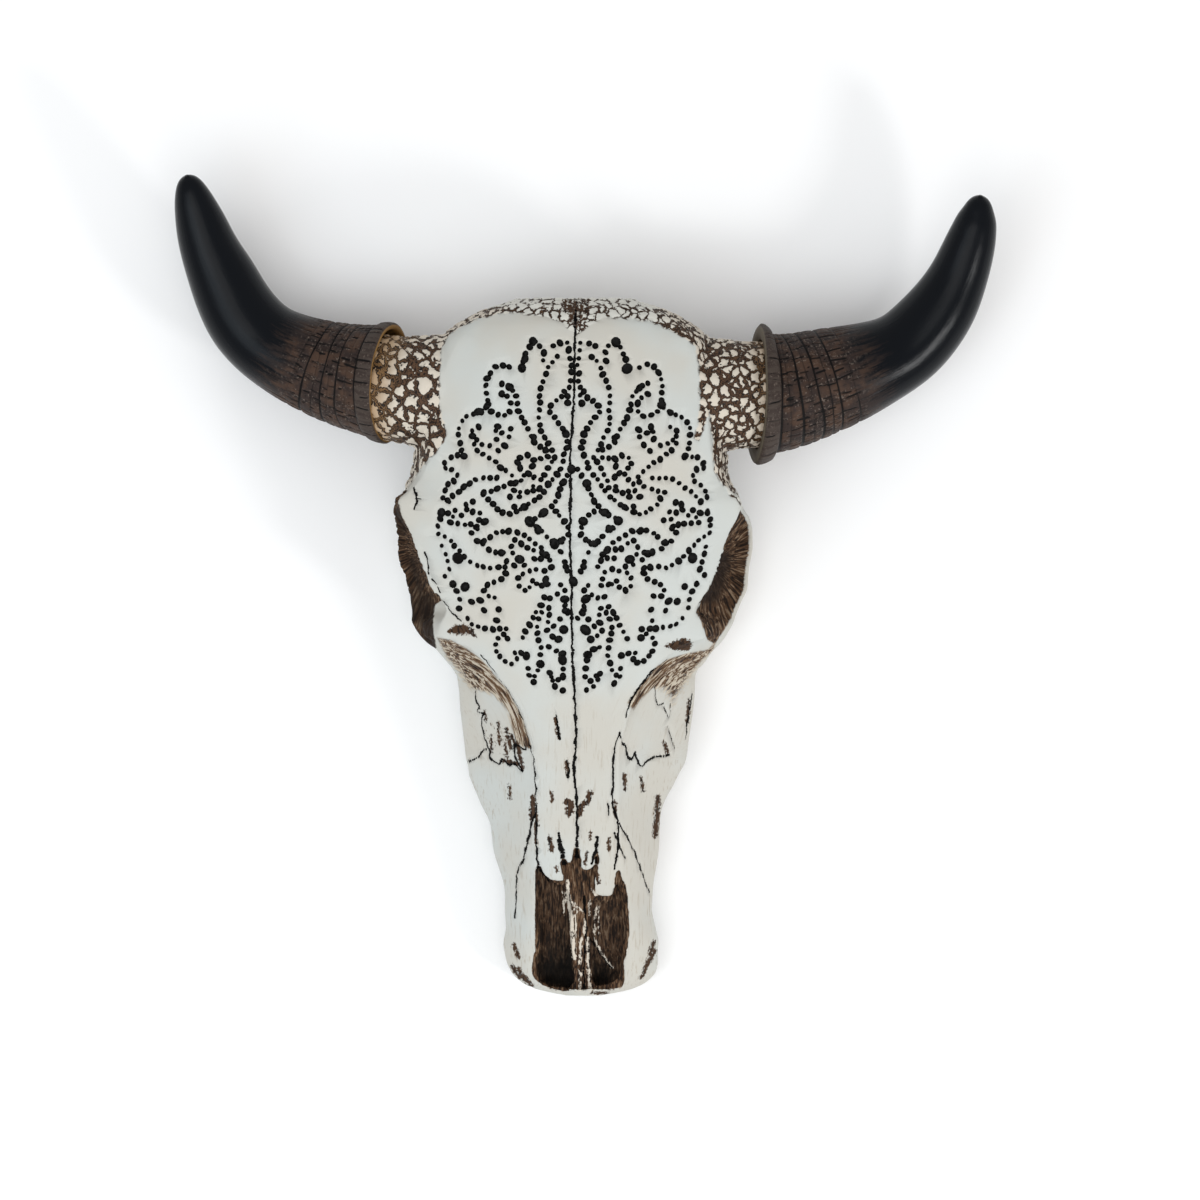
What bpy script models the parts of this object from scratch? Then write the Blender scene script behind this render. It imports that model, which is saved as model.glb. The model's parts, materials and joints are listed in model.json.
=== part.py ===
# Carved cow skull, a cast ornament that lies on its flat back with the face up.
# The skull with its horn cores is one solid, and a hollow horn is sleeved over each core.
# X points to the right of the picture, Y to the poll and Z out of the face.
# The origin is on the flat back, level with the lower end of the sockets.
import math
from bisect import bisect_right

import bmesh
import bpy
import numpy as np
from mathutils import Vector

# Driving dimensions, in metres
MM = 0.001
SOCKET_GAP = 0.8 * MM       # between a horn core and the bore of its horn
CORE_REACH = 30 * MM        # how far a core goes into its horn
BORE_DEPTH = 33 * MM
RING_SIDES = 28             # facets round a horn or a core
LOFT_STEP = 9 * MM          # widest spacing of the skull's cross-sections
CUTTER_TOP = 130 * MM       # height that the nose cutters reach, clear of the face

# Profiles of the skull along Y, from the poll to the nose, in millimetres.
# Each pair is a place along Y and the value there.
HALF_WIDTH = [
    (177, 37), (175, 41), (171, 54), (166, 64.5), (159, 75.5), (150, 84), (120, 86),
    (85, 95.5), (70, 96), (52, 106), (40, 108), (27, 108), (18, 107), (6, 104),
    (-6, 100.5), (-18, 98), (-27, 92.5), (-36, 86.5), (-43, 81), (-52, 73.5), (-67, 71.5),
    (-91, 68), (-103, 66.5), (-115, 61), (-128, 56.5), (-140, 53), (-158, 50.5),
    (-182, 46), (-204, 44.5), (-216, 47.5), (-225, 47), (-232, 44.5), (-239, 37.5),
    (-243, 29), (-246, 16), (-247, 10),
]
CROWN_Z = [
    (177, 78), (172, 89), (166, 95), (159, 100), (145, 104), (120, 107), (85, 109),
    (50, 108), (20, 105), (-6, 101), (-30, 97), (-52, 92), (-80, 86), (-103, 82),
    (-128, 77), (-158, 69), (-182, 60), (-204, 52), (-216, 48), (-232, 41), (-239, 37),
    (-243, 33), (-247, 27),
]
# The smooth plate of the brow and nose: its half width, and how far its edge lies under the crown
PLATE_HALF = [
    (177, 22), (171, 40), (159, 60), (150, 70), (120, 80), (90, 83), (70, 88), (60, 96),
    (53, 104), (44, 101.5), (35, 97), (26, 94), (17, 91), (9, 88), (-1, 84), (-6, 79),
    (-12, 76), (-21, 80), (-28, 82), (-31, 74), (-35, 64), (-41, 56.5), (-47, 50.5),
    (-53, 46), (-61, 40), (-67, 37), (-74, 33), (-84, 30), (-96, 26.5), (-128, 25.5),
    (-165, 26), (-190, 27), (-216, 28), (-232, 26), (-243, 17), (-247, 5),
]
PLATE_DROP = [
    (177, 5), (150, 9), (120, 11), (85, 13), (53, 20), (26, 17), (-6, 13), (-28, 15),
    (-41, 9), (-67, 5), (-96, 3), (-165, 3), (-216, 2), (-247, 3),
]
# The step down from the plate's edge, how far the wall goes in under it, and how hollow the flank is:
# 0 bulges out to the widest line, 1 drops straight down and flares out to it
STEP = [
    (177, 0.5), (85, 1), (60, 1.5), (53, 4), (44, 9), (26, 12), (0, 12), (-12, 9), (-21, 5),
    (-28, 3), (-33, 5), (-41, 8), (-61, 9), (-74, 7), (-96, 4), (-128, 2), (-165, 1), (-247, 0.5),
]
UNDERCUT = [(177, 0), (60, 0), (50, 1), (35, 5), (9, 6), (-10, 3), (-22, 0), (-247, 0)]
HOLLOW = [
    (177, 0.1), (120, 0.1), (85, 0.15), (65, 0.3), (50, 0.75), (35, 0.95), (9, 0.95),
    (-12, 0.85), (-25, 0.5), (-35, 0.35), (-60, 0.35), (-100, 0.42), (-165, 0.35),
    (-210, 0.2), (-247, 0.1),
]
# Height of the widest line, and the flat back: how far it is inset, and its height at the ends
SIDE_Z = [
    (177, 46), (150, 50), (110, 50), (80, 44), (50, 36), (20, 34), (-20, 34), (-50, 34),
    (-100, 31), (-165, 26), (-216, 22), (-240, 18), (-247, 16),
]
BACK_INSET = [(177, 8), (120, 10), (40, 24), (-30, 20), (-60, 14), (-165, 10), (-230, 9), (-247, 5)]
BACK_Z = [(177, 16), (171, 6), (165, 0), (-231, 0), (-240, 4), (-247, 9)]
# The middle of the face wanders a little, as it does on the real casting
MIDLINE = [(177, 0), (120, -1.5), (36, -3), (-6, -2), (-67, 0), (-128, 1.5), (-182, 3), (-247, 5.5)]

# The nose: its whole outline, a shallow recess, and the two deep lobes beside the septum
NOSE_OUTLINE = [
    (-23.5, -165), (-24.5, -182), (-23, -199), (-22, -216), (-25, -235), (-19, -241.5),
    (-6.5, -243.5), (2, -241.5), (10, -243.5), (19, -243), (27, -241), (29, -231), (30, -221),
    (32, -208), (31.5, -191), (29, -176), (25.5, -169), (23.5, -184), (19.5, -186.5),
    (14.5, -183.5), (12, -163), (9, -169), (5.5, -169), (1, -156.5), (-2, -165), (-5.5, -164),
    (-7.5, -175.5), (-11.5, -175.5), (-18, -169),
]
LEFT_LOBE = [
    (-22.5, -169), (-23, -199), (-21, -216), (-23.5, -233), (-17.5, -239.5), (-8, -241.5),
    (-1, -239), (-2, -225), (-3.5, -191), (-5.5, -181), (-11.5, -178.5), (-18, -173),
]
RIGHT_LOBE = [
    (25.5, -177), (28.5, -186), (30.5, -206), (28, -222.5), (26.5, -235), (19, -239.5), (11.5, -239),
    (9.5, -219), (8.5, -191), (17.5, -189), (22, -188.5),
]
RECESS_DEPTH = 6
LEFT_LOBE_DEPTH = [(-165, 13), (-215, 17), (-240, 21)]
RIGHT_LOBE_DEPTH = [(-165, 11), (-215, 14), (-240, 19)]

# Middle line of each horn in millimetres. The first two points lie in the skull, the third is
# the middle of the horn's mouth, the last is its tip.
LEFT_AXIS = [
    (-48, 118, 54), (-90, 120, 63), (-116, 123.5, 57.5), (-145, 130, 46), (-171, 140.5, 41),
    (-193, 155, 39.5), (-205.5, 171.5, 41.5), (-214, 190, 45), (-221, 205.5, 50),
    (-226, 221, 56), (-230.5, 235.5, 62), (-235.5, 251, 70),
]
RIGHT_AXIS = [
    (46, 117, 56), (86, 118, 61), (113.5, 118.5, 58), (130, 120, 55.5), (152, 127, 51),
    (171, 133, 48), (197.5, 144, 46), (210.5, 155, 46.5), (224.5, 172, 50), (234, 190.5, 55),
    (240, 207.5, 61), (244, 222, 67), (246, 239, 75),
]
MOUTH_POINT = 2
# Outer radius of each horn by distance from its mouth: collar, two rings, sweep and blunt tip
LEFT_GIRTH = [
    (0, 36.5), (1.5, 37.5), (7, 37), (9, 34.5), (20, 33), (22, 32), (24, 32.5), (35, 31), (37, 30),
    (39, 30.3), (60, 27), (86, 25.2), (101, 24), (110, 22.5), (127, 20.7), (145, 17.6), (162, 15.8),
    (178, 13),
]
RIGHT_GIRTH = [
    (0, 42), (1.5, 43), (7, 41), (9, 37), (17, 35.5), (19, 34.5), (21, 35), (31, 34), (33, 33),
    (35, 33.4), (60, 29), (76, 26), (89, 24), (106, 23.1), (128, 21), (149, 17.9), (168, 15.8),
    (184, 13),
]
# The blunt tip: distance from the end and radius
TIP_ROUNDING = [(9, 10), (4.5, 7.6), (1.6, 4.6), (0, 0)]
# Radius of both bores by distance from the mouth, and of the cores before the mouth
BORE_RADIUS = [(0, 33.2), (10, 31.6), (20, 29), (33, 25.4)]
CORE_ROOT_RADIUS = [(-70, 36), (-35, 35.5), (-18, 33.8)]
CORE_TIP_ROUNDING = 0.78

BONE_COLOUR = (0.72, 0.70, 0.64, 1.0)
HORN_COLOUR = (0.014, 0.014, 0.017, 1.0)


def clear_scene():
    for item in list(bpy.data.objects):
        bpy.data.objects.remove(item, do_unlink=True)


def slope_at(places, values, index):
    """Slope of a profile at one of its points, flat at a peak and at both ends."""
    if index in (0, len(places) - 1):
        return 0.0
    before = (values[index] - values[index - 1]) / (places[index] - places[index - 1])
    after = (values[index + 1] - values[index]) / (places[index + 1] - places[index])
    if before * after <= 0:
        return 0.0
    return 2 * before * after / (before + after)


def along(profile, place):
    """Smooth value of a profile at a place, with no overshoot between its points."""
    points = sorted(profile)
    places = [point[0] for point in points]
    values = [point[1] for point in points]
    index = min(max(bisect_right(places, place) - 1, 0), len(points) - 2)
    width = places[index + 1] - places[index]
    t = min(max((place - places[index]) / width, 0.0), 1.0)
    start = slope_at(places, values, index) * width
    end = slope_at(places, values, index + 1) * width
    rise = values[index + 1] - values[index]
    return values[index] + start * t + (3 * rise - 2 * start - end) * t**2 + (start + end - 2 * rise) * t**3


def smooth_path(points, steps):
    """Points on a Catmull-Rom curve that runs through the given points."""
    points = [np.array(point, dtype=float) for point in points]
    padded = [2 * points[0] - points[1]] + points + [2 * points[-1] - points[-2]]
    path = []
    for a, b, c, d in zip(padded, padded[1:], padded[2:], padded[3:]):
        for step in range(steps):
            t = step / steps
            path.append(0.5 * (2 * b + (c - a) * t + (2 * a - 5 * b + 4 * c - d) * t**2
                               + (3 * b - a - 3 * c + d) * t**3))
    path.append(points[-1])
    return path


def half_section(y):
    """Half of the skull's cross-section at y, from the crown round to the flat back."""
    half = along(HALF_WIDTH, y)
    crown = along(CROWN_Z, y)
    plate = min(along(PLATE_HALF, y), half - 2)
    edge_z = crown - along(PLATE_DROP, y)
    side_z = along(SIDE_Z, y)
    hollow = along(HOLLOW, y)
    back_z = along(BACK_Z, y)
    top = [(0, crown), (0.35 * plate, crown - 0.07 * (crown - edge_z)),
           (0.7 * plate, crown - 0.38 * (crown - edge_z)), (plate, edge_z)]
    foot_x = plate + 1 - along(UNDERCUT, y)
    foot_z = edge_z - along(STEP, y)
    flank = [(foot_x, foot_z)]
    for share in (0.25, 0.5, 0.75):
        turn = math.radians(90) * share
        out = (1 - hollow) * math.sin(turn) + hollow * (1 - math.cos(turn))
        down = (1 - hollow) * math.cos(turn) + hollow * (1 - math.sin(turn))
        flank.append((foot_x + (half - foot_x) * out, side_z + (foot_z - side_z) * down))
    inset = along(BACK_INSET, y)
    flank.append((half, side_z))
    flank.append((half - 0.35 * inset, back_z + 0.3 * (side_z - back_z)))
    section = [tuple(point) for point in smooth_path(top, 1)]
    section += [tuple(point) for point in smooth_path(flank, 2)]
    section.append((half - inset, back_z))
    return section


def loft_places():
    """Places of the cross-sections: every bend of the outline, and no gap wider than the step."""
    bends = sorted({pair[0] for pair in HALF_WIDTH + PLATE_HALF})
    places = [bends[0]]
    for bend in bends[1:]:
        gap = bend - places[-1]
        if gap < 1.9 and bend != bends[-1]:
            continue
        parts = math.ceil(gap / (LOFT_STEP / MM))
        start = places[-1]
        places += [start + gap * part / parts for part in range(1, parts + 1)]
    return places


def add_rings(mesh, rings):
    """Skin a list of rings of vertices, and close both ends."""
    for ring, following in zip(rings, rings[1:]):
        count = len(ring)
        for index in range(count):
            after = (index + 1) % count
            mesh.faces.new((ring[index], ring[after], following[after], following[index]))
    mesh.faces.new(rings[0])
    mesh.faces.new(rings[-1])


def finish_mesh(mesh, name, hidden=False):
    """Turn a bmesh into an object whose faces point outwards."""
    bmesh.ops.recalc_face_normals(mesh, faces=mesh.faces)
    data = bpy.data.meshes.new(name)
    mesh.to_mesh(data)
    mesh.free()
    item = bpy.data.objects.new(name, data)
    bpy.context.collection.objects.link(item)
    if hidden:
        item.hide_render = True
        item.display_type = "WIRE"
    return item


def make_body():
    """The skull without horn cores and nose, lofted along Y."""
    mesh = bmesh.new()
    rings = []
    for y in loft_places():
        half = half_section(y)
        middle = along(MIDLINE, y)
        outline = [(middle + x, z) for x, z in half]
        outline += [(middle - x, z) for x, z in reversed(half[1:])]
        rings.append([mesh.verts.new((x * MM, y * MM, z * MM)) for x, z in outline])
    add_rings(mesh, rings)
    return finish_mesh(mesh, "skull")


class Axis:
    """Middle line of a horn, measured from the horn's mouth."""

    def __init__(self, points):
        steps = 16
        self.path = np.array(smooth_path(points, steps)) * MM
        lengths = np.linalg.norm(np.diff(self.path, axis=0), axis=1)
        distance = np.concatenate(([0.0], np.cumsum(lengths)))
        self.distance = distance - distance[MOUTH_POINT * steps]
        self.length = self.distance[-1]

    def point(self, s):
        return Vector([np.interp(s, self.distance, self.path[:, part]) for part in range(3)])

    def ring(self, s, radius, sides=RING_SIDES):
        """Points of a circle round the middle line, square to it."""
        reach = 2 * MM
        tangent = (self.point(s + reach) - self.point(s - reach)).normalized()
        side = tangent.cross(Vector((0, 0, 1))).normalized()
        up = side.cross(tangent)
        centre = self.point(s)
        turns = [2 * math.pi * index / sides for index in range(sides)]
        return [centre + radius * (math.cos(turn) * side + math.sin(turn) * up) for turn in turns]


def sweep(axis, profile, name, hidden=False):
    """Skin the circles of a profile of distances and radii along an axis."""
    mesh = bmesh.new()
    rings = []
    for s, radius in profile:
        rings.append([mesh.verts.new(point) for point in axis.ring(s * MM, radius * MM)])
    add_rings(mesh, rings)
    return finish_mesh(mesh, name, hidden)


def make_core(axis, name):
    """Solid that joins the skull and ends inside the horn."""
    gap = SOCKET_GAP / MM
    reach = CORE_REACH / MM
    profile = list(CORE_ROOT_RADIUS)
    for s in (-6, 0, 10, 20, reach - 4):
        profile.append((s, along(BORE_RADIUS, s) - gap))
    profile.append((reach, (along(BORE_RADIUS, reach) - gap) * CORE_TIP_ROUNDING))
    return sweep(axis, profile, name, hidden=True)


def make_horn(axis, girth, name):
    """Hollow horn: up its bore, over its collar and along the outside to the blunt tip."""
    length = axis.length / MM
    bore = [(s, along(BORE_RADIUS, s)) for s in (BORE_DEPTH / MM, 20, 10, 1)]
    lip = [(0, along(BORE_RADIUS, 0) + 0.6)]
    tip = [(length - back, max(radius, 1.2)) for back, radius in TIP_ROUNDING]
    return sweep(axis, bore + lip + girth + tip, name)


def prism(outline, depth, name):
    """Cutter that follows an outline and goes down to a depth under the crown."""
    mesh = bmesh.new()
    low = []
    high = []
    for x, y in outline:
        floor = along(CROWN_Z, y) - depth(y)
        low.append(mesh.verts.new((x * MM, y * MM, floor * MM)))
        high.append(mesh.verts.new((x * MM, y * MM, CUTTER_TOP)))
    add_rings(mesh, [low, high])
    bmesh.ops.triangulate(mesh, faces=mesh.faces)
    return finish_mesh(mesh, name, hidden=True)


def apply_boolean(item, tool, operation, solver="EXACT"):
    modifier = item.modifiers.new(tool.name, "BOOLEAN")
    modifier.operation = operation
    modifier.solver = solver
    modifier.object = tool


def make_material(name, colour, roughness):
    material = bpy.data.materials.new(name)
    material.use_nodes = True
    shader = material.node_tree.nodes["Principled BSDF"]
    shader.inputs["Base Color"].default_value = colour
    shader.inputs["Roughness"].default_value = roughness
    shader.inputs["Metallic"].default_value = 0.0
    return material


def main():
    clear_scene()
    left_axis = Axis(LEFT_AXIS)
    right_axis = Axis(RIGHT_AXIS)

    skull = make_body()
    apply_boolean(skull, make_core(left_axis, "left_core"), "UNION")
    apply_boolean(skull, make_core(right_axis, "right_core"), "UNION")
    recess = prism(NOSE_OUTLINE, lambda y: RECESS_DEPTH, "nose_recess")
    left_lobe = prism(LEFT_LOBE, lambda y: along(LEFT_LOBE_DEPTH, y), "left_lobe")
    right_lobe = prism(RIGHT_LOBE, lambda y: along(RIGHT_LOBE_DEPTH, y), "right_lobe")
    for cutter in (recess, left_lobe):
        apply_boolean(skull, cutter, "DIFFERENCE")
    # The exact solver loses the skull at the last lobe, whose floor meets the recess at a slant
    apply_boolean(skull, right_lobe, "DIFFERENCE", solver="MANIFOLD")
    skull.data.materials.append(make_material("bone", BONE_COLOUR, 0.6))

    for axis, girth, side in ((left_axis, LEFT_GIRTH, "left"), (right_axis, RIGHT_GIRTH, "right")):
        horn = make_horn(axis, girth, f"horn_{side}")
        horn.data.materials.append(make_material(f"horn_{side}", HORN_COLOUR, 0.35))
        horn.data.shade_smooth()
        horn.data.set_sharp_from_angle(angle=math.radians(40))


main()
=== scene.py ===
# %% [markdown]
# # A carved cow skull
# A whitewashed cow skull lies face up on a pale table, with a lace of drilled dots on its
# forehead and two dark horns sleeved over its horn cores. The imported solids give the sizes.
# This lesson dresses them: first the shapes, then the carving, then the finishes.

import json
import math
import time

import bmesh
import bpy
import numpy as np
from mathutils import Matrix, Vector

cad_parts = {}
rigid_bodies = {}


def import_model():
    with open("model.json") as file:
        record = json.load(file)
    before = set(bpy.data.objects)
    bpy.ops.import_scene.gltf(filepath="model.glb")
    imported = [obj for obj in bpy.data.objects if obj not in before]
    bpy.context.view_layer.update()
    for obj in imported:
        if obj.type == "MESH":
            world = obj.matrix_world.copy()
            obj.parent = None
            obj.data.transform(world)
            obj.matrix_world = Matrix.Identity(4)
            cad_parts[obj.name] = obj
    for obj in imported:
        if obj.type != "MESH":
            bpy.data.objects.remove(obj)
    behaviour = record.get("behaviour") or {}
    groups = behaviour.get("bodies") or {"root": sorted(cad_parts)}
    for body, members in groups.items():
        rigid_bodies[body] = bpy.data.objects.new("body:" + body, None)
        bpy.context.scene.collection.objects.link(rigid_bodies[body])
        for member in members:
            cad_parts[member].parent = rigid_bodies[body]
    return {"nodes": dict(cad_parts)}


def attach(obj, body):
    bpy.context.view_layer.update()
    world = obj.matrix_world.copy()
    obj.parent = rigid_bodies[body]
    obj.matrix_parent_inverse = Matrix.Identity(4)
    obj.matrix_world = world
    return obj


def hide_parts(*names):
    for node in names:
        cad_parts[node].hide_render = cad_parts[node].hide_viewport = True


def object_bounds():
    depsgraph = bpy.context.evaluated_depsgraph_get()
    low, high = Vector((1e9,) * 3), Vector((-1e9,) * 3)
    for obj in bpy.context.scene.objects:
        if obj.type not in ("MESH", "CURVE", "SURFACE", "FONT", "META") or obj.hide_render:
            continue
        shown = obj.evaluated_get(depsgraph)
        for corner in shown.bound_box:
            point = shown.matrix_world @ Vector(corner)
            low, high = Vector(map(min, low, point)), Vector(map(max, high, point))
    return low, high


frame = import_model()
cad_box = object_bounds()
scene = bpy.context.scene
started = time.time()
print("nodes of the frame:", sorted(frame["nodes"]))

# %% [markdown]
# ## Measures
# The model is in metres, but a skull is easier to think about in millimetres. Places that were
# read off the picture stay in its pixels, and one function turns them into millimetres.

# %% Units and the picture's scale
MM = 0.001
PIXEL = 0.608              # millimetres of the skull to one pixel of the picture
ORIGIN_PIXEL = (575, 590)  # the pixel that lies at the model's origin


def on_face(points):
    """Places on the face, in millimetres, of picture pixels."""
    pixels = np.array(points, dtype=float)[:, :2]
    return (pixels - ORIGIN_PIXEL) * (PIXEL, -PIXEL)


# The crown is nearer to the camera and looks larger, so its places move inwards by this share
NEARER = 0.991


def on_crown(points):
    """Places on the crown, in millimetres, of picture pixels."""
    pixels = np.array(points, dtype=float)[:, :2]
    return on_face(600 + (pixels - 600) * NEARER)


print("frame width in millimetres:", 1200 * PIXEL)

# %% [markdown]
# ## The skull's form
# A skull has no straight line, but along its length every measure changes smoothly: its width,
# the height of the crown, the width of the smooth plate. So the form is kept as profiles along
# Y, from the poll to the nose, and a cross-section is drawn from them wherever one is needed.

# %% Profiles along the skull, in millimetres
POLL_Y = 177     # the back end of the skull
NOSE_Y = -247    # the tip of its nose
HALF_WIDTH = [
    (177, 37), (175, 41), (171, 54), (166, 64.5), (159, 75.5), (150, 84), (120, 86),
    (85, 95.5), (70, 96), (52, 106), (40, 108), (27, 108), (18, 107), (6, 104),
    (-6, 100.5), (-18, 98), (-27, 92.5), (-36, 86.5), (-43, 81), (-52, 73.5), (-67, 71.5),
    (-91, 68), (-103, 66.5), (-115, 61), (-128, 56.5), (-140, 53), (-158, 50.5),
    (-182, 46), (-204, 44.5), (-216, 47.5), (-225, 47), (-232, 44.5), (-239, 37.5),
    (-243, 29), (-246, 16), (-247, 10),
]
CROWN_Z = [
    (177, 78), (172, 89), (166, 95), (159, 100), (145, 104), (120, 107), (85, 109),
    (50, 108), (20, 105), (-6, 101), (-30, 97), (-52, 92), (-80, 86), (-103, 82),
    (-128, 77), (-158, 69), (-182, 60), (-204, 52), (-216, 48), (-232, 41), (-239, 37),
    (-243, 33), (-247, 27),
]
PLATE_HALF = [
    (177, 22), (171, 40), (159, 60), (150, 70), (120, 80), (90, 83), (70, 88), (60, 96),
    (53, 104), (44, 101.5), (35, 97), (26, 94), (17, 91), (9, 88), (-1, 84), (-6, 79),
    (-12, 76), (-21, 80), (-28, 82), (-31, 74), (-35, 64), (-41, 56.5), (-47, 50.5),
    (-53, 46), (-61, 40), (-67, 37), (-74, 33), (-84, 30), (-96, 26.5), (-128, 25.5),
    (-165, 26), (-190, 27), (-216, 28), (-232, 26), (-243, 17), (-247, 5),
]
PLATE_DROP = [
    (177, 5), (150, 9), (120, 11), (85, 13), (53, 20), (26, 17), (-6, 13), (-28, 15),
    (-41, 9), (-67, 5), (-96, 3), (-165, 3), (-216, 2), (-247, 3),
]
STEP = [
    (177, 0.5), (85, 1), (60, 1.5), (53, 4), (44, 9), (26, 12), (0, 12), (-12, 9), (-21, 5),
    (-28, 3), (-33, 5), (-41, 8), (-61, 9), (-74, 7), (-96, 4), (-128, 2), (-165, 1), (-247, 0.5),
]
UNDERCUT = [(177, 0), (60, 0), (50, 1), (35, 5), (9, 6), (-10, 3), (-22, 0), (-247, 0)]
HOLLOW = [
    (177, 0.1), (120, 0.1), (85, 0.15), (65, 0.3), (50, 0.75), (35, 0.95), (9, 0.95),
    (-12, 0.85), (-25, 0.5), (-35, 0.35), (-60, 0.35), (-100, 0.42), (-165, 0.35),
    (-210, 0.2), (-247, 0.1),
]
SIDE_Z = [
    (177, 46), (150, 50), (110, 50), (80, 44), (50, 36), (20, 34), (-20, 34), (-50, 34),
    (-100, 31), (-165, 26), (-216, 22), (-240, 18), (-247, 16),
]
BACK_INSET = [(177, 8), (120, 10), (40, 24), (-30, 20), (-60, 14), (-165, 10), (-230, 9), (-247, 5)]
BACK_Z = [(177, 16), (171, 6), (165, 0), (-231, 0), (-240, 4), (-247, 9)]
MIDLINE = [(177, 0), (120, -1.5), (36, -3), (-6, -2), (-67, 0), (-128, 1.5), (-182, 3), (-247, 5.5)]


def along(profile, places):
    """Smooth values of a profile at some places, with no overshoot between its points."""
    points = np.array(sorted(profile), dtype=float)
    x, value = points[:, 0], points[:, 1]
    secant = np.diff(value) / np.diff(x)
    rising = secant[:-1] * secant[1:]
    same_way = rising > 0
    slope = np.zeros(len(x))
    slope[1:-1][same_way] = 2 * rising[same_way] / (secant[:-1] + secant[1:])[same_way]
    index = np.clip(np.searchsorted(x, places, side="right") - 1, 0, len(x) - 2)
    width = x[index + 1] - x[index]
    t = np.clip((places - x[index]) / width, 0, 1)
    rise = value[index + 1] - value[index]
    first = slope[index] * width
    last = slope[index + 1] * width
    return value[index] + first * t + (3 * rise - 2 * first - last) * t**2 + (first + last - 2 * rise) * t**3


print("widest half width:", max(width for y, width in HALF_WIDTH), "mm")

# %% Cross-sections
PLATE_STEPS = 10   # points between two control points of the plate
FLANK_STEPS = 9    # the same down the flank
TOP_CURVE = [(0.35, 0.07), (0.7, 0.38)]   # shares of the plate's half width and of its drop
LOWER_SIDE = (0.35, 0.3)                  # share of the inset, and of the height of the side
CALM = 16          # millimetres over which the inside of the plate loses its corners
CALM_REACH = 6     # millimetres that it may move for that


def smooth_path(points, steps):
    """Points on a Catmull-Rom curve that runs through the given points."""
    points = np.array(points, dtype=float)
    padded = np.vstack([2 * points[0] - points[1], points, 2 * points[-1] - points[-2]])
    a, b, c, d = padded[:-3], padded[1:-2], padded[2:-1], padded[3:]
    path = []
    for t in np.arange(steps) / steps:
        path.append(0.5 * (2 * b + (c - a) * t + (2 * a - 5 * b + 4 * c - d) * t**2
                           + (3 * b - a - 3 * c + d) * t**3))
    path = np.stack(path, axis=1).reshape(-1, points.shape[1])
    return np.vstack([path, points[-1]])


def bell(width, reach):
    """Weights of a soft blur, which add up to 1."""
    window = np.exp(-0.5 * (np.arange(-reach, reach + 1) / width) ** 2)
    return window / window.sum()


def softened(profile, reach):
    """The profile with its corners rounded over a reach, for the inside of the plate."""
    grid = np.arange(profile[-1][0], profile[0][0] + 1, 1.0)
    padded = np.pad(along(profile, grid), 3 * reach, mode="edge")
    return grid, np.convolve(padded, bell(reach, 3 * reach), mode="valid")


CALM_GRID, CALM_PLATE = softened(PLATE_HALF, reach=CALM)


def half_section(y):
    """The plate and the flank of the right half of the cross-section at y."""
    half = along(HALF_WIDTH, y)
    crown = along(CROWN_Z, y)
    plate = min(along(PLATE_HALF, y), half - 2)
    edge_z = crown - along(PLATE_DROP, y)
    side_z = along(SIDE_Z, y)
    hollow = along(HOLLOW, y)
    back_z = along(BACK_Z, y)
    middle = [(out * plate, crown - drop * (crown - edge_z)) for out, drop in TOP_CURVE]
    top = [(0, crown)] + middle + [(plate, edge_z)]
    share = np.linspace(0, 1, 3 * PLATE_STEPS + 1)
    top = smooth_path(top, PLATE_STEPS)
    inner = top[:, 0] / plate * np.interp(y, CALM_GRID, CALM_PLATE)
    top[:, 0] += (np.minimum(inner, top[:, 0] + CALM_REACH) - top[:, 0]) * (1 - share**3) * share
    foot_x = plate + 1 - along(UNDERCUT, y)
    foot_z = edge_z - along(STEP, y)
    flank = [(foot_x, foot_z)]
    for turn in (math.pi / 8, math.pi / 4, 3 * math.pi / 8):
        out = (1 - hollow) * math.sin(turn) + hollow * (1 - math.cos(turn))
        down = (1 - hollow) * math.cos(turn) + hollow * (1 - math.sin(turn))
        flank.append((foot_x + (half - foot_x) * out, side_z + (foot_z - side_z) * down))
    inset = along(BACK_INSET, y)
    flank.append((half, side_z))
    flank.append((half - LOWER_SIDE[0] * inset, back_z + LOWER_SIDE[1] * (side_z - back_z)))
    flank = np.vstack([smooth_path(flank, FLANK_STEPS), (half - inset, back_z)])
    return top, flank


print("points of a half section:", sum(len(part) for part in half_section(0.0)))

# %% [markdown]
# ## Skins
# The skull's body is a loft of cross-sections, and a horn or a horn core is a tube of circles.
# Both are rings of points with a skin of quads between them, so one function makes both.


# %% Skin rings of points
def skin(rings, name):
    """Object whose quads join neighbouring rings, closed at both ends, faces outwards."""
    rings = np.asarray(rings)
    count, size = rings.shape[:2]
    index = np.arange(count * size).reshape(count, size)
    near, far = index[:-1], index[1:]
    quads = np.stack([near, np.roll(near, -1, 1), np.roll(far, -1, 1), far], axis=-1).reshape(-1, 4)
    faces = quads.tolist() + [index[0][::-1].tolist(), index[-1].tolist()]
    data = bpy.data.meshes.new(name)
    data.from_pydata((rings.reshape(-1, 3) * MM).tolist(), [], faces)
    builder = bmesh.new()
    builder.from_mesh(data)
    bmesh.ops.recalc_face_normals(builder, faces=builder.faces)
    builder.to_mesh(data)
    builder.free()
    item = bpy.data.objects.new(name, data)
    scene.collection.objects.link(item)
    return item


# %% [markdown]
# ## Uneven sides
# No skull is quite even. The profiles give a mirrored form, so each side is also read off the
# picture, and what it stands out from the profile is added to the flank.

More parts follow.
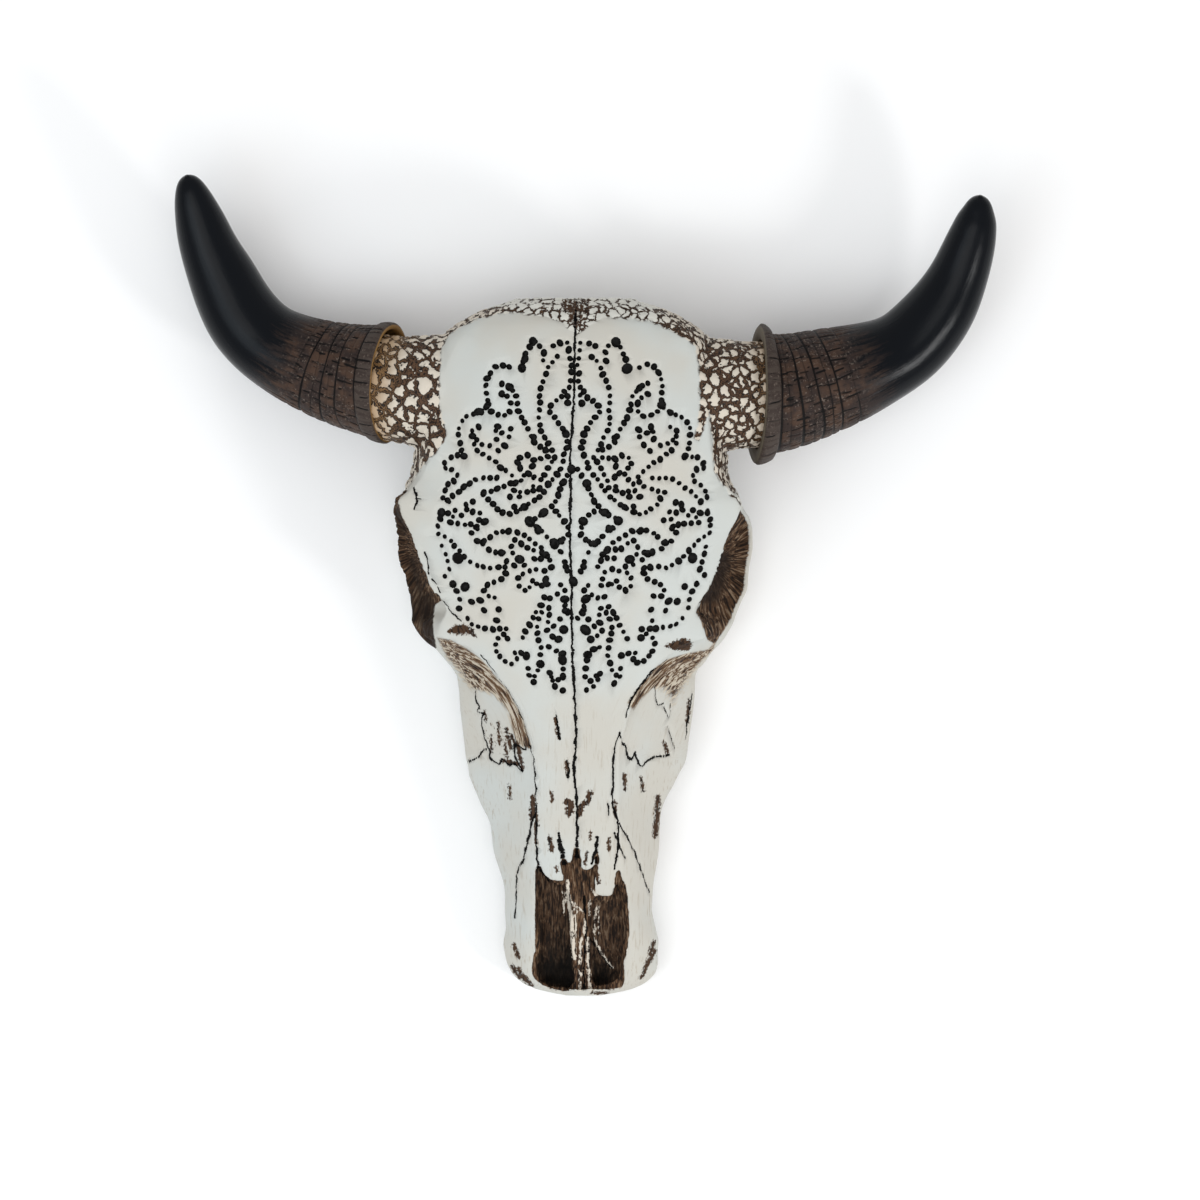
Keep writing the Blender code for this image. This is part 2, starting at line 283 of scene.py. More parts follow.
# %% The two sides, in pixels of the picture
LEFT_SIDE = [
    (408, 480), (401, 491.5), (393.6, 505), (394.5, 518), (397.4, 543), (399.3, 562), (404, 577.6),
    (408, 593), (412, 610), (412.3, 623.5), (418.5, 633), (426, 641.7), (437.6, 651), (447, 662),
    (455, 673), (458.7, 690.5), (460.6, 715), (463.4, 738), (467.3, 763), (470, 778.6), (479, 801),
    (490, 825), (493, 849), (504, 888), (505, 919), (503, 945), (509, 969),
]
RIGHT_SIDE = [
    (733, 485), (741.8, 506.4), (749, 518), (752.5, 531.4), (752.9, 545.7), (749.8, 565.4),
    (747, 590.4), (741.8, 601), (734.6, 619), (723, 640), (712, 652), (700, 668), (695, 690),
    (693, 712), (686, 760), (675, 782), (663, 806), (660, 832), (657, 864), (652, 909), (656, 929),
    (658, 953), (651, 979),
]


def bulge_profile(side):
    """How far one side stands out from the even profile, along Y, from the cores to the nose."""
    x, y = on_face(side).T
    extra = np.abs(x - along(MIDLINE, y)) - along(HALF_WIDTH, y)
    return [(80, 0)] + list(zip(y, extra)) + [(NOSE_Y, 1)]


LEFT_BULGE = bulge_profile(LEFT_SIDE)
RIGHT_BULGE = bulge_profile(RIGHT_SIDE)
print("widest bulge:", round(max(out for y, out in LEFT_BULGE + RIGHT_BULGE), 1), "mm")


# %% The loft
def bulged(flank, plate, bulge):
    """The flank with its outer part moved outwards."""
    reach = flank[:, 0].max() - plate
    share = np.clip((flank[:, 0] - plate) / reach, 0, 1)
    return np.column_stack([flank[:, 0] + bulge * share, flank[:, 1]])


def skull_rings(step):
    """Rings of the skull's body, one every step along Y."""
    places = np.append(np.arange(NOSE_Y, POLL_Y, step), float(POLL_Y))
    rings = []
    for y in places:
        top, flank = half_section(y)
        right = bulged(flank, top[-1, 0], along(RIGHT_BULGE, y))
        left = bulged(flank, top[-1, 0], along(LEFT_BULGE, y))
        other = np.vstack([top[1:], left])[::-1] * (-1, 1)
        outline = np.vstack([top, right, other])
        middle = along(MIDLINE, y)
        ring = np.column_stack([outline[:, 0] + middle, np.full(len(outline), y), outline[:, 1]])
        rings.append(ring)
    return rings


body = skin(skull_rings(step=1.25), "skull_body")
print("body:", len(body.data.vertices), "points")

# %% [markdown]
# ## Horn axes
# A horn grows along a curve. Its middle line runs on into the skull as the core's middle line,
# so that core and socket share one axis, and every place on it is a distance from the mouth.

# %% Middle lines and girths, in millimetres
LEFT_AXIS = [
    (-48, 118, 54), (-90, 120, 63), (-116, 123.5, 57.5), (-145, 130, 46), (-171, 140.5, 41),
    (-193, 155, 39.5), (-205.5, 171.5, 41.5), (-214, 190, 45), (-221.5, 205.5, 50),
    (-226.5, 221, 56), (-231, 235.5, 62), (-235, 251, 70),
]
RIGHT_AXIS = [
    (46, 117, 56), (86, 118, 61), (113.5, 118.5, 58), (130, 120, 55.5), (152, 127, 51),
    (171, 133, 48), (197, 144, 46), (209.5, 155, 46.5), (223.3, 172, 50), (232.8, 190.5, 55),
    (238.8, 207.5, 61), (243, 222, 67), (245.5, 239, 75),
]
MOUTH_POINT = 2
LEFT_GIRTH = [
    (0, 36.5), (1.5, 37.5), (7, 37), (9.5, 35.2), (20, 33.4), (35, 31.2),
    (60, 27), (86, 24), (101, 23.4), (110, 22.5), (127, 21), (145, 18.2), (162, 16),
    (178, 12.6),
]
RIGHT_GIRTH = [
    (0, 42), (1.5, 43), (7, 41), (9, 37), (17, 35.8), (33, 33.6),
    (60, 29), (76, 26), (89, 24), (106, 23.1), (128, 21), (149, 17.9), (168, 15.8),
    (184, 13),
]
TIP_ROUNDING = [(9, 9.2), (4.5, 6.9), (1.6, 4.2), (0, 1.2)]
BORE_RADIUS = [(0, 33.2), (10, 31.6), (20, 29), (33, 25.4)]
SOCKET_GAP = 0.8
AXIS_CALM = 8    # millimetres over which the given points of an axis are blurred


# %% Axes
class Axis:
    """Middle line of a horn, measured in millimetres from the horn's mouth."""

    def __init__(self, points):
        rough = smooth_path(points, 16)
        even = self.along_path(rough, np.arange(0, self.lengths(rough)[-1], 1.0))
        reach = 3 * AXIS_CALM
        before = 2 * even[0] - even[reach:0:-1]
        after = 2 * even[-1] - even[-2:-reach - 2:-1]
        padded = np.vstack([before, even, after])
        window = bell(AXIS_CALM, reach)
        self.path = np.column_stack([np.convolve(column, window, mode="valid") for column in padded.T])
        distance = self.lengths(self.path)
        mouth = np.linalg.norm(self.path - points[MOUTH_POINT], axis=1).argmin()
        self.distance = distance - distance[mouth]
        self.length = self.distance[-1]

    def lengths(self, path):
        """Distance of each point of a path from its start."""
        return np.concatenate(([0.0], np.cumsum(np.linalg.norm(np.diff(path, axis=0), axis=1))))

    def along_path(self, path, places):
        """Points of a path at distances from its start."""
        return np.column_stack([np.interp(places, self.lengths(path), column) for column in path.T])

    def point(self, s):
        """Points of the axis at distances from the mouth."""
        return np.column_stack([np.interp(s, self.distance, column) for column in self.path.T])

    def frames(self, s):
        """Centres of the rings at distances s, and their two cross directions."""
        tangent = self.point(s + 2) - self.point(s - 2)
        tangent /= np.linalg.norm(tangent, axis=1, keepdims=True)
        side = np.cross(tangent, (0, 0, 1))
        side /= np.linalg.norm(side, axis=1, keepdims=True)
        return self.point(s), side, np.cross(side, tangent)

    def rings(self, s, radius, turns):
        """Points round the axis. The radius has a row for each ring and a column for each turn."""
        centre, side, up = self.frames(s)
        circle = np.cos(turns)[None, :, None] * side[:, None] + np.sin(turns)[None, :, None] * up[:, None]
        return centre[:, None] + radius[:, :, None] * circle


left_axis = Axis(LEFT_AXIS)
right_axis = Axis(RIGHT_AXIS)
print("horn lengths:", round(left_axis.length, 1), round(right_axis.length, 1), "mm")

# %% Horn cores
CORE_ROOT = [(-70, 36), (-35, 35.5), (-18, 33.8), (-6, 32.4)]
CORE_START = -68    # where a core begins, inside the skull
CORE_REACH = 30     # how far it reaches into its horn
CORE_TIP = [(3, 1.0), (1.2, 0.93), (0, 0.78)]   # distances from the tip, and shares of the radius
CORE_TURNS = 120


def core_profile(s):
    """Radius of a core at distances s from the mouth, less than the bore's by a growing gap."""
    bored = [(place, radius - SOCKET_GAP - 0.12 * place) for place, radius in BORE_RADIUS]
    return along(CORE_ROOT + bored, s)


def make_core(axis, name):
    tip = np.array(CORE_TIP)
    s = np.append(np.arange(CORE_START, CORE_REACH - tip[0, 0], 1.5), CORE_REACH - tip[:, 0])
    radius = core_profile(s)
    radius[-len(tip):] *= tip[:, 1]
    turns = np.linspace(0, 2 * math.pi, CORE_TURNS, endpoint=False)
    return skin(axis.rings(s, np.repeat(radius[:, None], len(turns), axis=1), turns), name)


cores = [make_core(left_axis, "left_core"), make_core(right_axis, "right_core")]
print("core radius at the mouth:", round(float(core_profile(0.0)), 1), "mm")

# %% [markdown]
# ## The nose opening
# The bone ends in a ragged edge over the nose, and behind it lies a shallow recess with two deep
# lobes beside the septum. Three prisms with rounded outlines are cut out of the loft.

# %% Nose outlines
# The ragged edge in pixels of the picture, the two lobes in millimetres
NOSE_OUTLINE = [
    (538, 860), (536, 897), (536.5, 943), (533, 974), (540, 984), (559, 990), (574, 989),
    (592, 988), (607, 989), (622, 986), (623, 965), (628, 933), (627, 900), (623, 881), (617, 867),
    (616, 873), (615, 888), (612, 896), (597, 895), (594, 888), (595, 876), (597.5, 864),
    (598.5, 849), (597.5, 837), (595.5, 850), (594, 864), (588, 869), (580.5, 867), (580, 858),
    (576.5, 845), (573, 859), (569, 862.5), (565.5, 860), (563.5, 856.5), (559.5, 837),
    (560.5, 850), (562, 864), (563.5, 873), (564, 880.5), (554.5, 880.5), (546, 876), (540, 866),
]
LEFT_LOBE = [
    (-22.5, -169), (-23, -199), (-21, -216), (-23.5, -233), (-17.5, -239.5), (-8, -241.5),
    (-1, -239), (-2, -225), (-3.5, -191), (-5.5, -181), (-11.5, -178.5), (-18, -173),
]
RIGHT_LOBE = [
    (25.5, -177), (28.5, -186), (30.5, -206), (28, -222.5), (26.5, -235), (19, -239.5), (11.5, -239),
    (9.5, -219), (8.5, -191), (17.5, -189), (22, -188.5),
]
RECESS_DEPTH = [(-150, 6), (-247, 6)]
LEFT_LOBE_DEPTH = [(-165, 13), (-215, 17), (-240, 21)]
RIGHT_LOBE_DEPTH = [(-165, 11), (-215, 14), (-240, 19)]
CUTTER_TOP = 130


def closed_path(points, steps):
    """Rounded closed outline through the points."""
    points = [tuple(point) for point in points]
    wrapped = points[-2:] + points + points[:3]
    path = smooth_path(wrapped, steps)
    return path[2 * steps:(len(points) + 2) * steps]


def prism(outline, depth, name):
    """Cutter that follows an outline, down to a depth under the crown."""
    outline = closed_path(outline, 3)
    x, y = outline[:, 0], outline[:, 1]
    floor = along(CROWN_Z, y) - along(depth, y)
    low = np.column_stack([x, y, floor])
    high = np.column_stack([x, y, np.full(len(x), CUTTER_TOP)])
    item = skin([low, high], name)
    cleaner = bmesh.new()
    cleaner.from_mesh(item.data)
    bmesh.ops.triangulate(cleaner, faces=cleaner.faces)
    cleaner.to_mesh(item.data)
    cleaner.free()
    return item


cutters = [prism(on_face(NOSE_OUTLINE), RECESS_DEPTH, "nose_recess"),
           prism(LEFT_LOBE, LEFT_LOBE_DEPTH, "left_lobe"),
           prism(RIGHT_LOBE, RIGHT_LOBE_DEPTH, "right_lobe")]
print("nose cutters:", len(cutters))

# %% [markdown]
# ## One skin for the skull
# The cores grow out of the skull, so body and cores become one closed skin. A voxel remesh
# merges them and gives small even faces, which the carving needs later.

# %% Merge, cut and remesh
VOXEL = 1.0 * MM


def evaluated(item):
    """New mesh of an object with its modifiers applied."""
    graph = bpy.context.evaluated_depsgraph_get()
    return bpy.data.meshes.new_from_object(item.evaluated_get(graph))


def settle(item):
    """Apply the modifiers of an object and take them off."""
    data = evaluated(item)
    item.modifiers.clear()
    old = item.data
    item.data = data
    bpy.data.meshes.remove(old)
    return item


def remove(items):
    for item in items:
        bpy.data.objects.remove(item, do_unlink=True)


for cutter in cutters:
    modifier = body.modifiers.new(cutter.name, "BOOLEAN")
    modifier.operation = "DIFFERENCE"
    modifier.solver = "MANIFOLD"
    modifier.object = cutter
settle(body)
merger = bmesh.new()
for item in [body] + cores:
    merger.from_mesh(item.data)
skull = bpy.data.objects.new("skull_visual", bpy.data.meshes.new("skull_visual"))
scene.collection.objects.link(skull)
merger.to_mesh(skull.data)
merger.free()
remove([body] + cores + cutters)
modifier = skull.modifiers.new("remesh", "REMESH")
modifier.mode = "VOXEL"
modifier.voxel_size = VOXEL
settle(skull)
print("skull:", len(skull.data.polygons), "faces", round(time.time() - started, 1), "s")

# %% [markdown]
# ## A small language for node trees
# Geometry and shader trees share their maths nodes. Adding, scaling and mixing read best as
# plain formulas, so one class turns arithmetic into nodes for both kinds of tree.


# %% Values and nodes
class Value:
    """A number or vector in a node tree, and arithmetic on it adds nodes."""

    def __init__(self, nodes, socket):
        self.nodes = nodes
        self.socket = socket

    def sum(self, operation, other, flipped=False):
        """Maths node on this value and another, or on both the other way round."""
        pair = (other, self) if flipped else (self, other)
        return self.nodes.add("ShaderNodeMath", {"operation": operation}, dict(enumerate(pair)))

    def __add__(self, other):
        return self.sum("ADD", other)

    def __sub__(self, other):
        return self.sum("SUBTRACT", other)

    def __mul__(self, other):
        return self.sum("MULTIPLY", other)

    def __truediv__(self, other):
        return self.sum("DIVIDE", other)

    def __rsub__(self, other):
        return self.sum("SUBTRACT", other, flipped=True)

    def __rtruediv__(self, other):
        return self.sum("DIVIDE", other, flipped=True)

    __radd__ = __add__
    __rmul__ = __mul__

    def out(self, name):
        """Another output of the same node."""
        return Value(self.nodes, self.socket.node.outputs[name])

    def most(self, other):
        return self.sum("MAXIMUM", other)

    def step(self, low, high):
        """Smooth step from 0 to 1 between two levels, or from 1 to 0 when high is below low."""
        return self.nodes.add("ShaderNodeMapRange", {"interpolation_type": "SMOOTHSTEP"},
                              {"Value": self, "From Min": low, "From Max": high})


class Nodes:
    """Adds nodes to a tree and gives back their outputs as values."""

    def __init__(self, tree):
        self.tree = tree

    def fill(self, socket, value):
        """Set a socket to a number or link it to a value, or to each value of a list."""
        if isinstance(value, list):
            for part in value:
                self.fill(socket, part)
        elif isinstance(value, Value):
            self.tree.links.new(value.socket, socket)
        else:
            socket.default_value = value

    def add(self, kind, settings=None, inputs=None, output=0):
        """Node of a kind: its settings come first, then its sockets. Gives back one output."""
        node = self.tree.nodes.new(kind)
        for name, setting in (settings or {}).items():
            setattr(node, name, setting)
        for place, value in (inputs or {}).items():
            self.fill(node.inputs[place], value)
        return Value(self, node.outputs[output] if node.outputs else None)

    def vector(self, operation, first, second):
        return self.add("ShaderNodeVectorMath", {"operation": operation}, {0: first, 1: second})

    def scaled(self, vector, amount):
        return self.add("ShaderNodeVectorMath", {"operation": "SCALE"}, {0: vector, "Scale": amount})

    def blend(self, share, first, second):
        return self.add("ShaderNodeMix", {"data_type": "RGBA"}, {0: share, 6: first, 7: second}, 2)

    def noise(self, place, size, detail=2.0, roughness=0.5, output=0):
        """Noise with features of a size in millimetres."""
        return self.add("ShaderNodeTexNoise", {}, {"Vector": place, "Scale": 1 / (size * MM),
                        "Detail": detail, "Roughness": roughness}, output)


print("both kinds of tree share", Value.__name__, "and", Nodes.__name__)

# %% [markdown]
# ## Regions of the skull
# The casting is painted by regions: a smooth white plate, a net of cracks round the cores and the
# poll, and brown streaked hollows. Each region is an outline read off the picture. A point of
# the skin stores how far it lies inside each one, so that paint and relief can follow the edge.

# %% Outlines, in pixels of the picture
SMOOTH_PLATE = [
    (576, 335), (568, 327), (559, 321), (543, 316), (523, 313), (502, 313), (477, 318), (451, 331),
    (441, 346), (439, 380), (440, 410), (447, 433), (436, 452), (418, 471), (404, 490), (392, 505),
    (370, 520), (370, 1020), (790, 1020), (790, 520), (745, 508), (733, 498), (722, 484),
    (714, 469), (713, 440), (709, 411), (705, 426), (699, 441), (694, 438), (698, 424),
    (700, 400), (699, 364), (695, 346), (684, 337), (668, 328), (650, 321), (625, 318),
    (604, 317), (592, 323),
]
LEFT_SOCKET = [
    (390, 503), (400, 503), (404, 517), (411, 533), (416, 547), (421, 562), (430, 585),
    (440, 597), (435, 608), (434, 625), (437, 648), (428, 655), (405, 625), (385, 580), (385, 530),
]
RIGHT_SOCKET = [
    (748, 519), (731, 529), (726, 542), (717, 568), (704, 596), (694, 612), (700, 620),
    (706, 639), (715, 645), (732, 617), (741, 596), (745, 580), (750, 550), (751, 526),
]
LEFT_CHEEK = [
    (437, 637), (451, 639), (468, 648), (480, 657), (490, 667), (498, 678), (509, 690),
    (521, 712), (527, 728), (533, 748), (526, 749), (513, 741), (508, 712), (492, 695),
    (468, 690), (455, 671), (445, 658),
]
RIGHT_CHEEK = [
    (716, 640), (708, 649), (690, 652), (678, 655), (666, 659), (657, 665), (649, 673), (641, 684),
    (635, 692), (627, 702), (633, 712), (643, 698), (652, 690), (661, 689), (668, 700),
    (671, 717), (676, 705), (682, 694), (690, 680), (702, 662), (714, 650),
]
# The edge of the plate over each cheek, where the brown starts
CHEEK_EDGES = [
    [(437, 637), (451, 639), (468, 648), (480, 657), (490, 667), (498, 678), (509, 690), (521, 712),
     (527, 728), (533, 748)],
    [(716, 640), (708, 649), (690, 652), (678, 655), (666, 659), (657, 665), (649, 673), (641, 684),
     (635, 692), (627, 702)],
]
LEFT_STAIN = [(448, 632), (455, 626), (466, 624), (474, 629), (477, 637), (468, 633), (458, 634)]
RIGHT_STAIN = [(664, 646), (674, 641), (684, 638), (692, 643), (688, 650), (676, 650)]
print("points of the plate:", len(SMOOTH_PLATE))

# %% [markdown]
# ## Strokes
# Small marks have no outline worth drawing. Each is a line with half its width, like a stroke of
# a brush: brown wash that stayed on the white bone, white that was left on the ridges in the
# nose, and shade deep in the sockets.

# %% Strokes, in pixels of the picture, with half their width in pixels
BROWN_STROKES = [
    (3.2, [(567, 801), (571, 803), (569, 812)]), (2.4, [(590, 792), (588, 800), (580, 806), (579, 814)]),
    (1.2, [(552, 791), (553, 800)]), (1.3, [(624, 774), (625, 789)]), (1.2, [(641, 777), (643, 791)]),
    (2.2, [(658, 797), (657, 815), (655, 836)]), (2.2, [(533, 796), (532, 818)]),
    (1.6, [(549, 835), (552, 849)]), (0.9, [(556, 865), (557, 870)]), (0.9, [(590, 831), (590, 838)]),
    (1.1, [(587, 851), (585, 863)]), (0.9, [(609, 837), (609, 850)]), (1.2, [(597, 874), (599, 882)]),
    (1.7, [(512, 967), (520, 978)]), (1.7, [(518, 969), (526, 982)]), (1.6, [(525, 978), (532, 987)]),
    (1.5, [(514, 945), (519, 957)]), (1.6, [(654, 942), (650, 953)]), (1.6, [(655, 951), (649, 962)]),
    (1.6, [(649, 960), (644, 971)]), (1.4, [(645, 972), (641, 978)]), (1.1, [(592, 993), (607, 994)]),
    (1.2, [(556, 717), (559, 737)]), (1.2, [(567, 761), (568, 775)]), (1.2, [(689, 700), (687, 722)]),
    (1.3, [(664, 742), (667, 752)]), (1.0, [(536, 822), (536, 842)]), (1.0, [(615, 800), (615, 815)]),
    (1.6, [(512, 735), (520, 752)]), (1.2, [(506, 728), (512, 748)]), (1.0, [(485, 712), (486, 722)]),
    (1.6, [(534, 798), (537, 824)]), (1.1, [(491, 735), (492, 752)]), (1.0, [(509, 784), (510, 798)]),
    (1.3, [(570, 303), (571, 322)]), (1.3, [(576, 300), (576, 330)]), (1.3, [(582, 303), (580, 322)]),
    (1.1, [(565, 303), (566, 314)]), (1.1, [(588, 303), (586, 315)]), (1.4, [(519, 752), (523, 768)]),
    (1.3, [(503, 760), (520, 763)]), (1.0, [(505, 744), (508, 757)]), (0.9, [(498, 722), (500, 744)]),
]
WHITE_STROKES = [
    (2.0, [(568, 880), (568, 899), (571, 915), (573, 938), (574, 958)]), (1.2, [(571, 901), (582, 911)]),
    (1.6, [(585, 920), (585, 934)]), (1.5, [(581, 938), (580, 960), (580, 991)]),
    (1.5, [(588, 938), (588, 960), (590, 991)]), (1.4, [(593, 938), (602, 954), (612, 968)]),
    (1.4, [(591, 889), (597, 896)]), (0.9, [(595, 906), (594, 933)]), (0.9, [(590, 900), (589, 915)]),
    (0.8, [(575, 905), (576, 935)]), (0.8, [(598, 905), (599, 935)]), (0.8, [(563, 890), (564, 915)]),
]
SHADE_STROKES = [
    (13, [(718, 562), (709, 592)]), (10, [(424, 602), (434, 645)]), (6, [(404, 585), (415, 618)]),
    (5, [(412, 560), (420, 590)]), (5, [(398, 512), (402, 530)]),
]
print("strokes:", len(BROWN_STROKES), "brown,", len(WHITE_STROKES), "white,", len(SHADE_STROKES), "dark")


# %% How far inside an outline
def inside(x, y, outline):
    """Distance to a closed outline in millimetres, positive inside."""
    place = np.column_stack([x, y])[:, None]
    start = np.asarray(outline, dtype=float)[None]
    edge = np.roll(start, -1, axis=1) - start
    share = np.clip(((place - start) * edge).sum(-1) / (edge**2).sum(-1), 0, 1)
    gap = np.linalg.norm(place - start - share[..., None] * edge, axis=-1).min(axis=1)
    low, high = start[..., 1], start[..., 1] + edge[..., 1]
    spans = (low > y[:, None]) != (high > y[:, None])
    rise = np.where(edge[..., 1] == 0, 1, edge[..., 1])
    crossing = start[..., 0] + (y[:, None] - low) * edge[..., 0] / rise
    odd = (spans & (x[:, None] < crossing)).sum(axis=1) % 2 == 1
    return np.where(odd, gap, -gap)


STROKE_REACH = 25   # millimetres from the middle of a stroke where it is looked for


def inside_strokes(x, y, strokes):
    """Distance to the edge of the nearest stroke in millimetres, positive inside it."""
    place = np.column_stack([x, y])
    best = np.full(len(x), -50.0)
    for half_width, points in strokes:
        line = on_face(points)
        for start, end in zip(line, line[1:]):
            near = np.abs(place - (start + end) / 2).max(axis=1) < STROKE_REACH
            edge = end - start
            share = np.clip(((place[near] - start) @ edge) / (edge @ edge), 0, 1)
            gap = np.linalg.norm(place[near] - start - share[:, None] * edge, axis=1)
            best[near] = np.maximum(best[near], half_width * PIXEL - gap)
    return best


middle = on_face([(412, 580)])[0]
print("left socket reaches", round(float(inside(middle[:1], middle[1:], on_face(LEFT_SOCKET))[0]), 1),
      "mm from its middle")


# %% Values on the points of a piece
def places_of(item):
    """Coordinates of the points of a piece, in millimetres."""
    flat = np.empty(len(item.data.vertices) * 3)
    item.data.vertices.foreach_get("co", flat)
    return flat.reshape(-1, 3) / MM


def store(item, name, values, kind="FLOAT"):
    """Keep a value for each point of a piece."""
    data = item.data
    if name in data.attributes:
        data.attributes.remove(data.attributes[name])
    layer = data.attributes.new(name, kind, "POINT")
    field = "vector" if kind == "FLOAT_VECTOR" else "value"
    layer.data.foreach_set(field, np.asarray(values, dtype=np.float32).ravel())


print("points of the skull:", len(places_of(skull)))

# %% [markdown]
# ## Marks on the skull
# Every point of the skin keeps how far it lies inside each region. Far down the sides and on the
# flat back no region goes on, because there the casting is plain white.

# %% Sockets and horns
NOWHERE = -20    # a distance far outside a region
# Heights in millimetres below which a region stops
NET_FLOOR = 6
NOSE_FLOOR = 12
STROKE_FLOOR = 15
SOCKET_FLOOR = 20
WHITE_RIM = 2.2  # white edge outside the right socket


def above(z, floor, values):
    return np.where(z > floor, values, NOWHERE)


def socket_distance(x, y, z):
    """Distance into a socket, which runs on under the edge of the plate."""
    edge_z = along(CROWN_Z, y) - along(PLATE_DROP, y)
    under = np.clip(edge_z - 2 - z, 0, 9)
    hollow = [inside(x, y, on_face(outline)) for outline in (LEFT_SOCKET, RIGHT_SOCKET)]
    sockets = np.maximum(*hollow) + under * np.clip((y + 8) / 6, 0, 1)
    rim = along(HALF_WIDTH, y) + along(RIGHT_BULGE, y) - np.abs(x - along(MIDLINE, y))
    sockets = np.where(x > 0, np.minimum(sockets, rim - WHITE_RIM), sockets)
    return np.minimum(sockets, (z - along(SIDE_Z, y) + 7) * 0.2)


def axis_distance(item, axis):
    """Distance of each point from the mouth of a horn, in millimetres, measured along its axis."""
    places = places_of(item)
    mouth, tangent = axis.point(np.array([0.0])), axis.point(np.array([-4.0]))
    direction = (tangent - mouth)[0] / 4
    offset = places - mouth[0]
    gap = offset @ direction
    far = np.linalg.norm(offset - gap[:, None] * direction, axis=1) > 60
    return np.where(far, 200, gap)


print("no paint in the sockets below", SOCKET_FLOOR, "mm")


# %% Run of the grain
# For each side: pixel where the streaks of the socket meet, and middle of the cheek's arc
STREAK_CENTRES = [(-1, (440, 545), (425, 755)), (1, (706, 560), (727, 750))]


def polar(x, y, centre_pixel):
    """Distance and angle round a pixel of the picture."""
    centre = on_face([centre_pixel])[0]
    return np.hypot(x - centre[0], y - centre[1]), np.arctan2(y - centre[1], x - centre[0])


def grain_run(x, y):
    """Places across and along the grain: a fan in each socket, arcs on the cheeks, else straight."""
    across, run = x.copy(), y.copy()
    for side, dark_spot, arc_centre in STREAK_CENTRES:
        near = (x * side > 40) & (y > -34) & (y < 60)
        reach, turn = polar(x, y, dark_spot)
        across[near] = (turn * 26)[near]
        run[near] = reach[near]
        near = (x * side > 20) & (y <= -34) & (y > -100)
        reach, turn = polar(x, y, arc_centre)
        across[near] = reach[near]
        run[near] = (turn * 60)[near]
    return across, run


print("fans of streaks:", len(STREAK_CENTRES))


# %% Mark the skull
def mark_skull(item):
    """Store on every point the distances to the regions and the run of the grain."""
    x, y, z = places_of(item).T
    net = -inside(x, y, on_crown(SMOOTH_PLATE))
    cheeks = np.maximum(inside(x, y, on_face(LEFT_CHEEK)), inside(x, y, on_face(RIGHT_CHEEK)))
    stains = np.maximum(inside(x, y, on_face(LEFT_STAIN)), inside(x, y, on_face(RIGHT_STAIN)))
    stains = np.maximum(stains, inside_strokes(x, y, BROWN_STROKES))
    fringe = -inside_strokes(x, y, [(0, line) for line in CHEEK_EDGES])
    depth = face_height(x, y) - z
    nose = np.minimum(inside(x, y, closed_path(on_face(NOSE_OUTLINE), 3)) + 1.2, depth - 0.7)
    collar = [axis_distance(item, axis) for axis in (left_axis, right_axis)]
    store(item, "net", np.minimum(net, z - NET_FLOOR))
    store(item, "socket", above(z, SOCKET_FLOOR, socket_distance(x, y, z)))
    store(item, "shade", above(z, SOCKET_FLOOR, inside_strokes(x, y, SHADE_STROKES)))
    store(item, "cheek", np.minimum(cheeks, (z - along(SIDE_Z, y)) * 0.25))
    store(item, "fringe", np.clip(fringe, 0, 20))
    store(item, "stain", above(z, STROKE_FLOOR, stains))
    store(item, "scrape", above(z, STROKE_FLOOR, inside_strokes(x, y, WHITE_STROKES)))
    store(item, "weather", np.clip((-50 - y) / 50, 0, 1) * 0.6 + np.clip((50 - z) / 20, 0, 1) * 0.4)
    store(item, "nose", above(z, NOSE_FLOOR, nose))
    store(item, "below", depth)
    store(item, "collar", np.minimum(collar[0], collar[1] + 10))
    store(item, "grain", np.column_stack([*grain_run(x, y), z]) * MM, "FLOAT_VECTOR")


# %% Height of the uncut face
GRID_X = np.arange(-110, 111, 1.0)
GRID_Y = np.arange(NOSE_Y, POLL_Y + 1, 1.0)


def face_row(y):
    """Heights of the face across the skull at y."""
    top, flank = half_section(y)
    right = np.vstack([top, flank[:3 * FLANK_STEPS]])
    keep = np.concatenate([[True], np.diff(np.maximum.accumulate(right[:, 0])) > 1e-6])
    return np.interp(np.abs(GRID_X - along(MIDLINE, y)), right[keep, 0], right[keep, 1])


FACE = np.array([face_row(y) for y in GRID_Y])


def face_height(x, y):
    """Height of the uncut face, between the four nearest places of the grid."""
    column = np.clip(x - GRID_X[0], 0, len(GRID_X) - 1.001)
    row = np.clip(y - GRID_Y[0], 0, len(GRID_Y) - 1.001)
    i, j = row.astype(int), column.astype(int)
    u, v = row - i, column - j
    low = FACE[i, j] * (1 - v) + FACE[i, j + 1] * v
    high = FACE[i + 1, j] * (1 - v) + FACE[i + 1, j + 1] * v
    return low * (1 - u) + high * u


mark_skull(skull)
print("marked:", [layer.name for layer in skull.data.attributes if not layer.name.startswith(".")])

# %% [markdown]
# ## Relief
# The net is a web of grooves that leaves smooth islands, and the hollows have a grain like
# driftwood. The formulas below give a depth at a place. The geometry tree sinks the skin by
# them and the paint reads the same ones, so brown always sits where the grooves are.

# %% Formulas shared by relief and paint
ISLAND = 8.6        # millimetres from one island of the net to the next, on the left core
FINE_ISLAND = 6.6   # the same on the right core and the poll
FINE_RIGHT = (15.0, 35.0)     # X over which the net turns finer
FINE_BACK = (128.0, 142.0)    # Y over which it does
NET_DEPTH = 1.1
GRAIN_DEPTH = 1.2
CHIP_DEPTH = 0.5
WAVE_DEPTH = 0.2


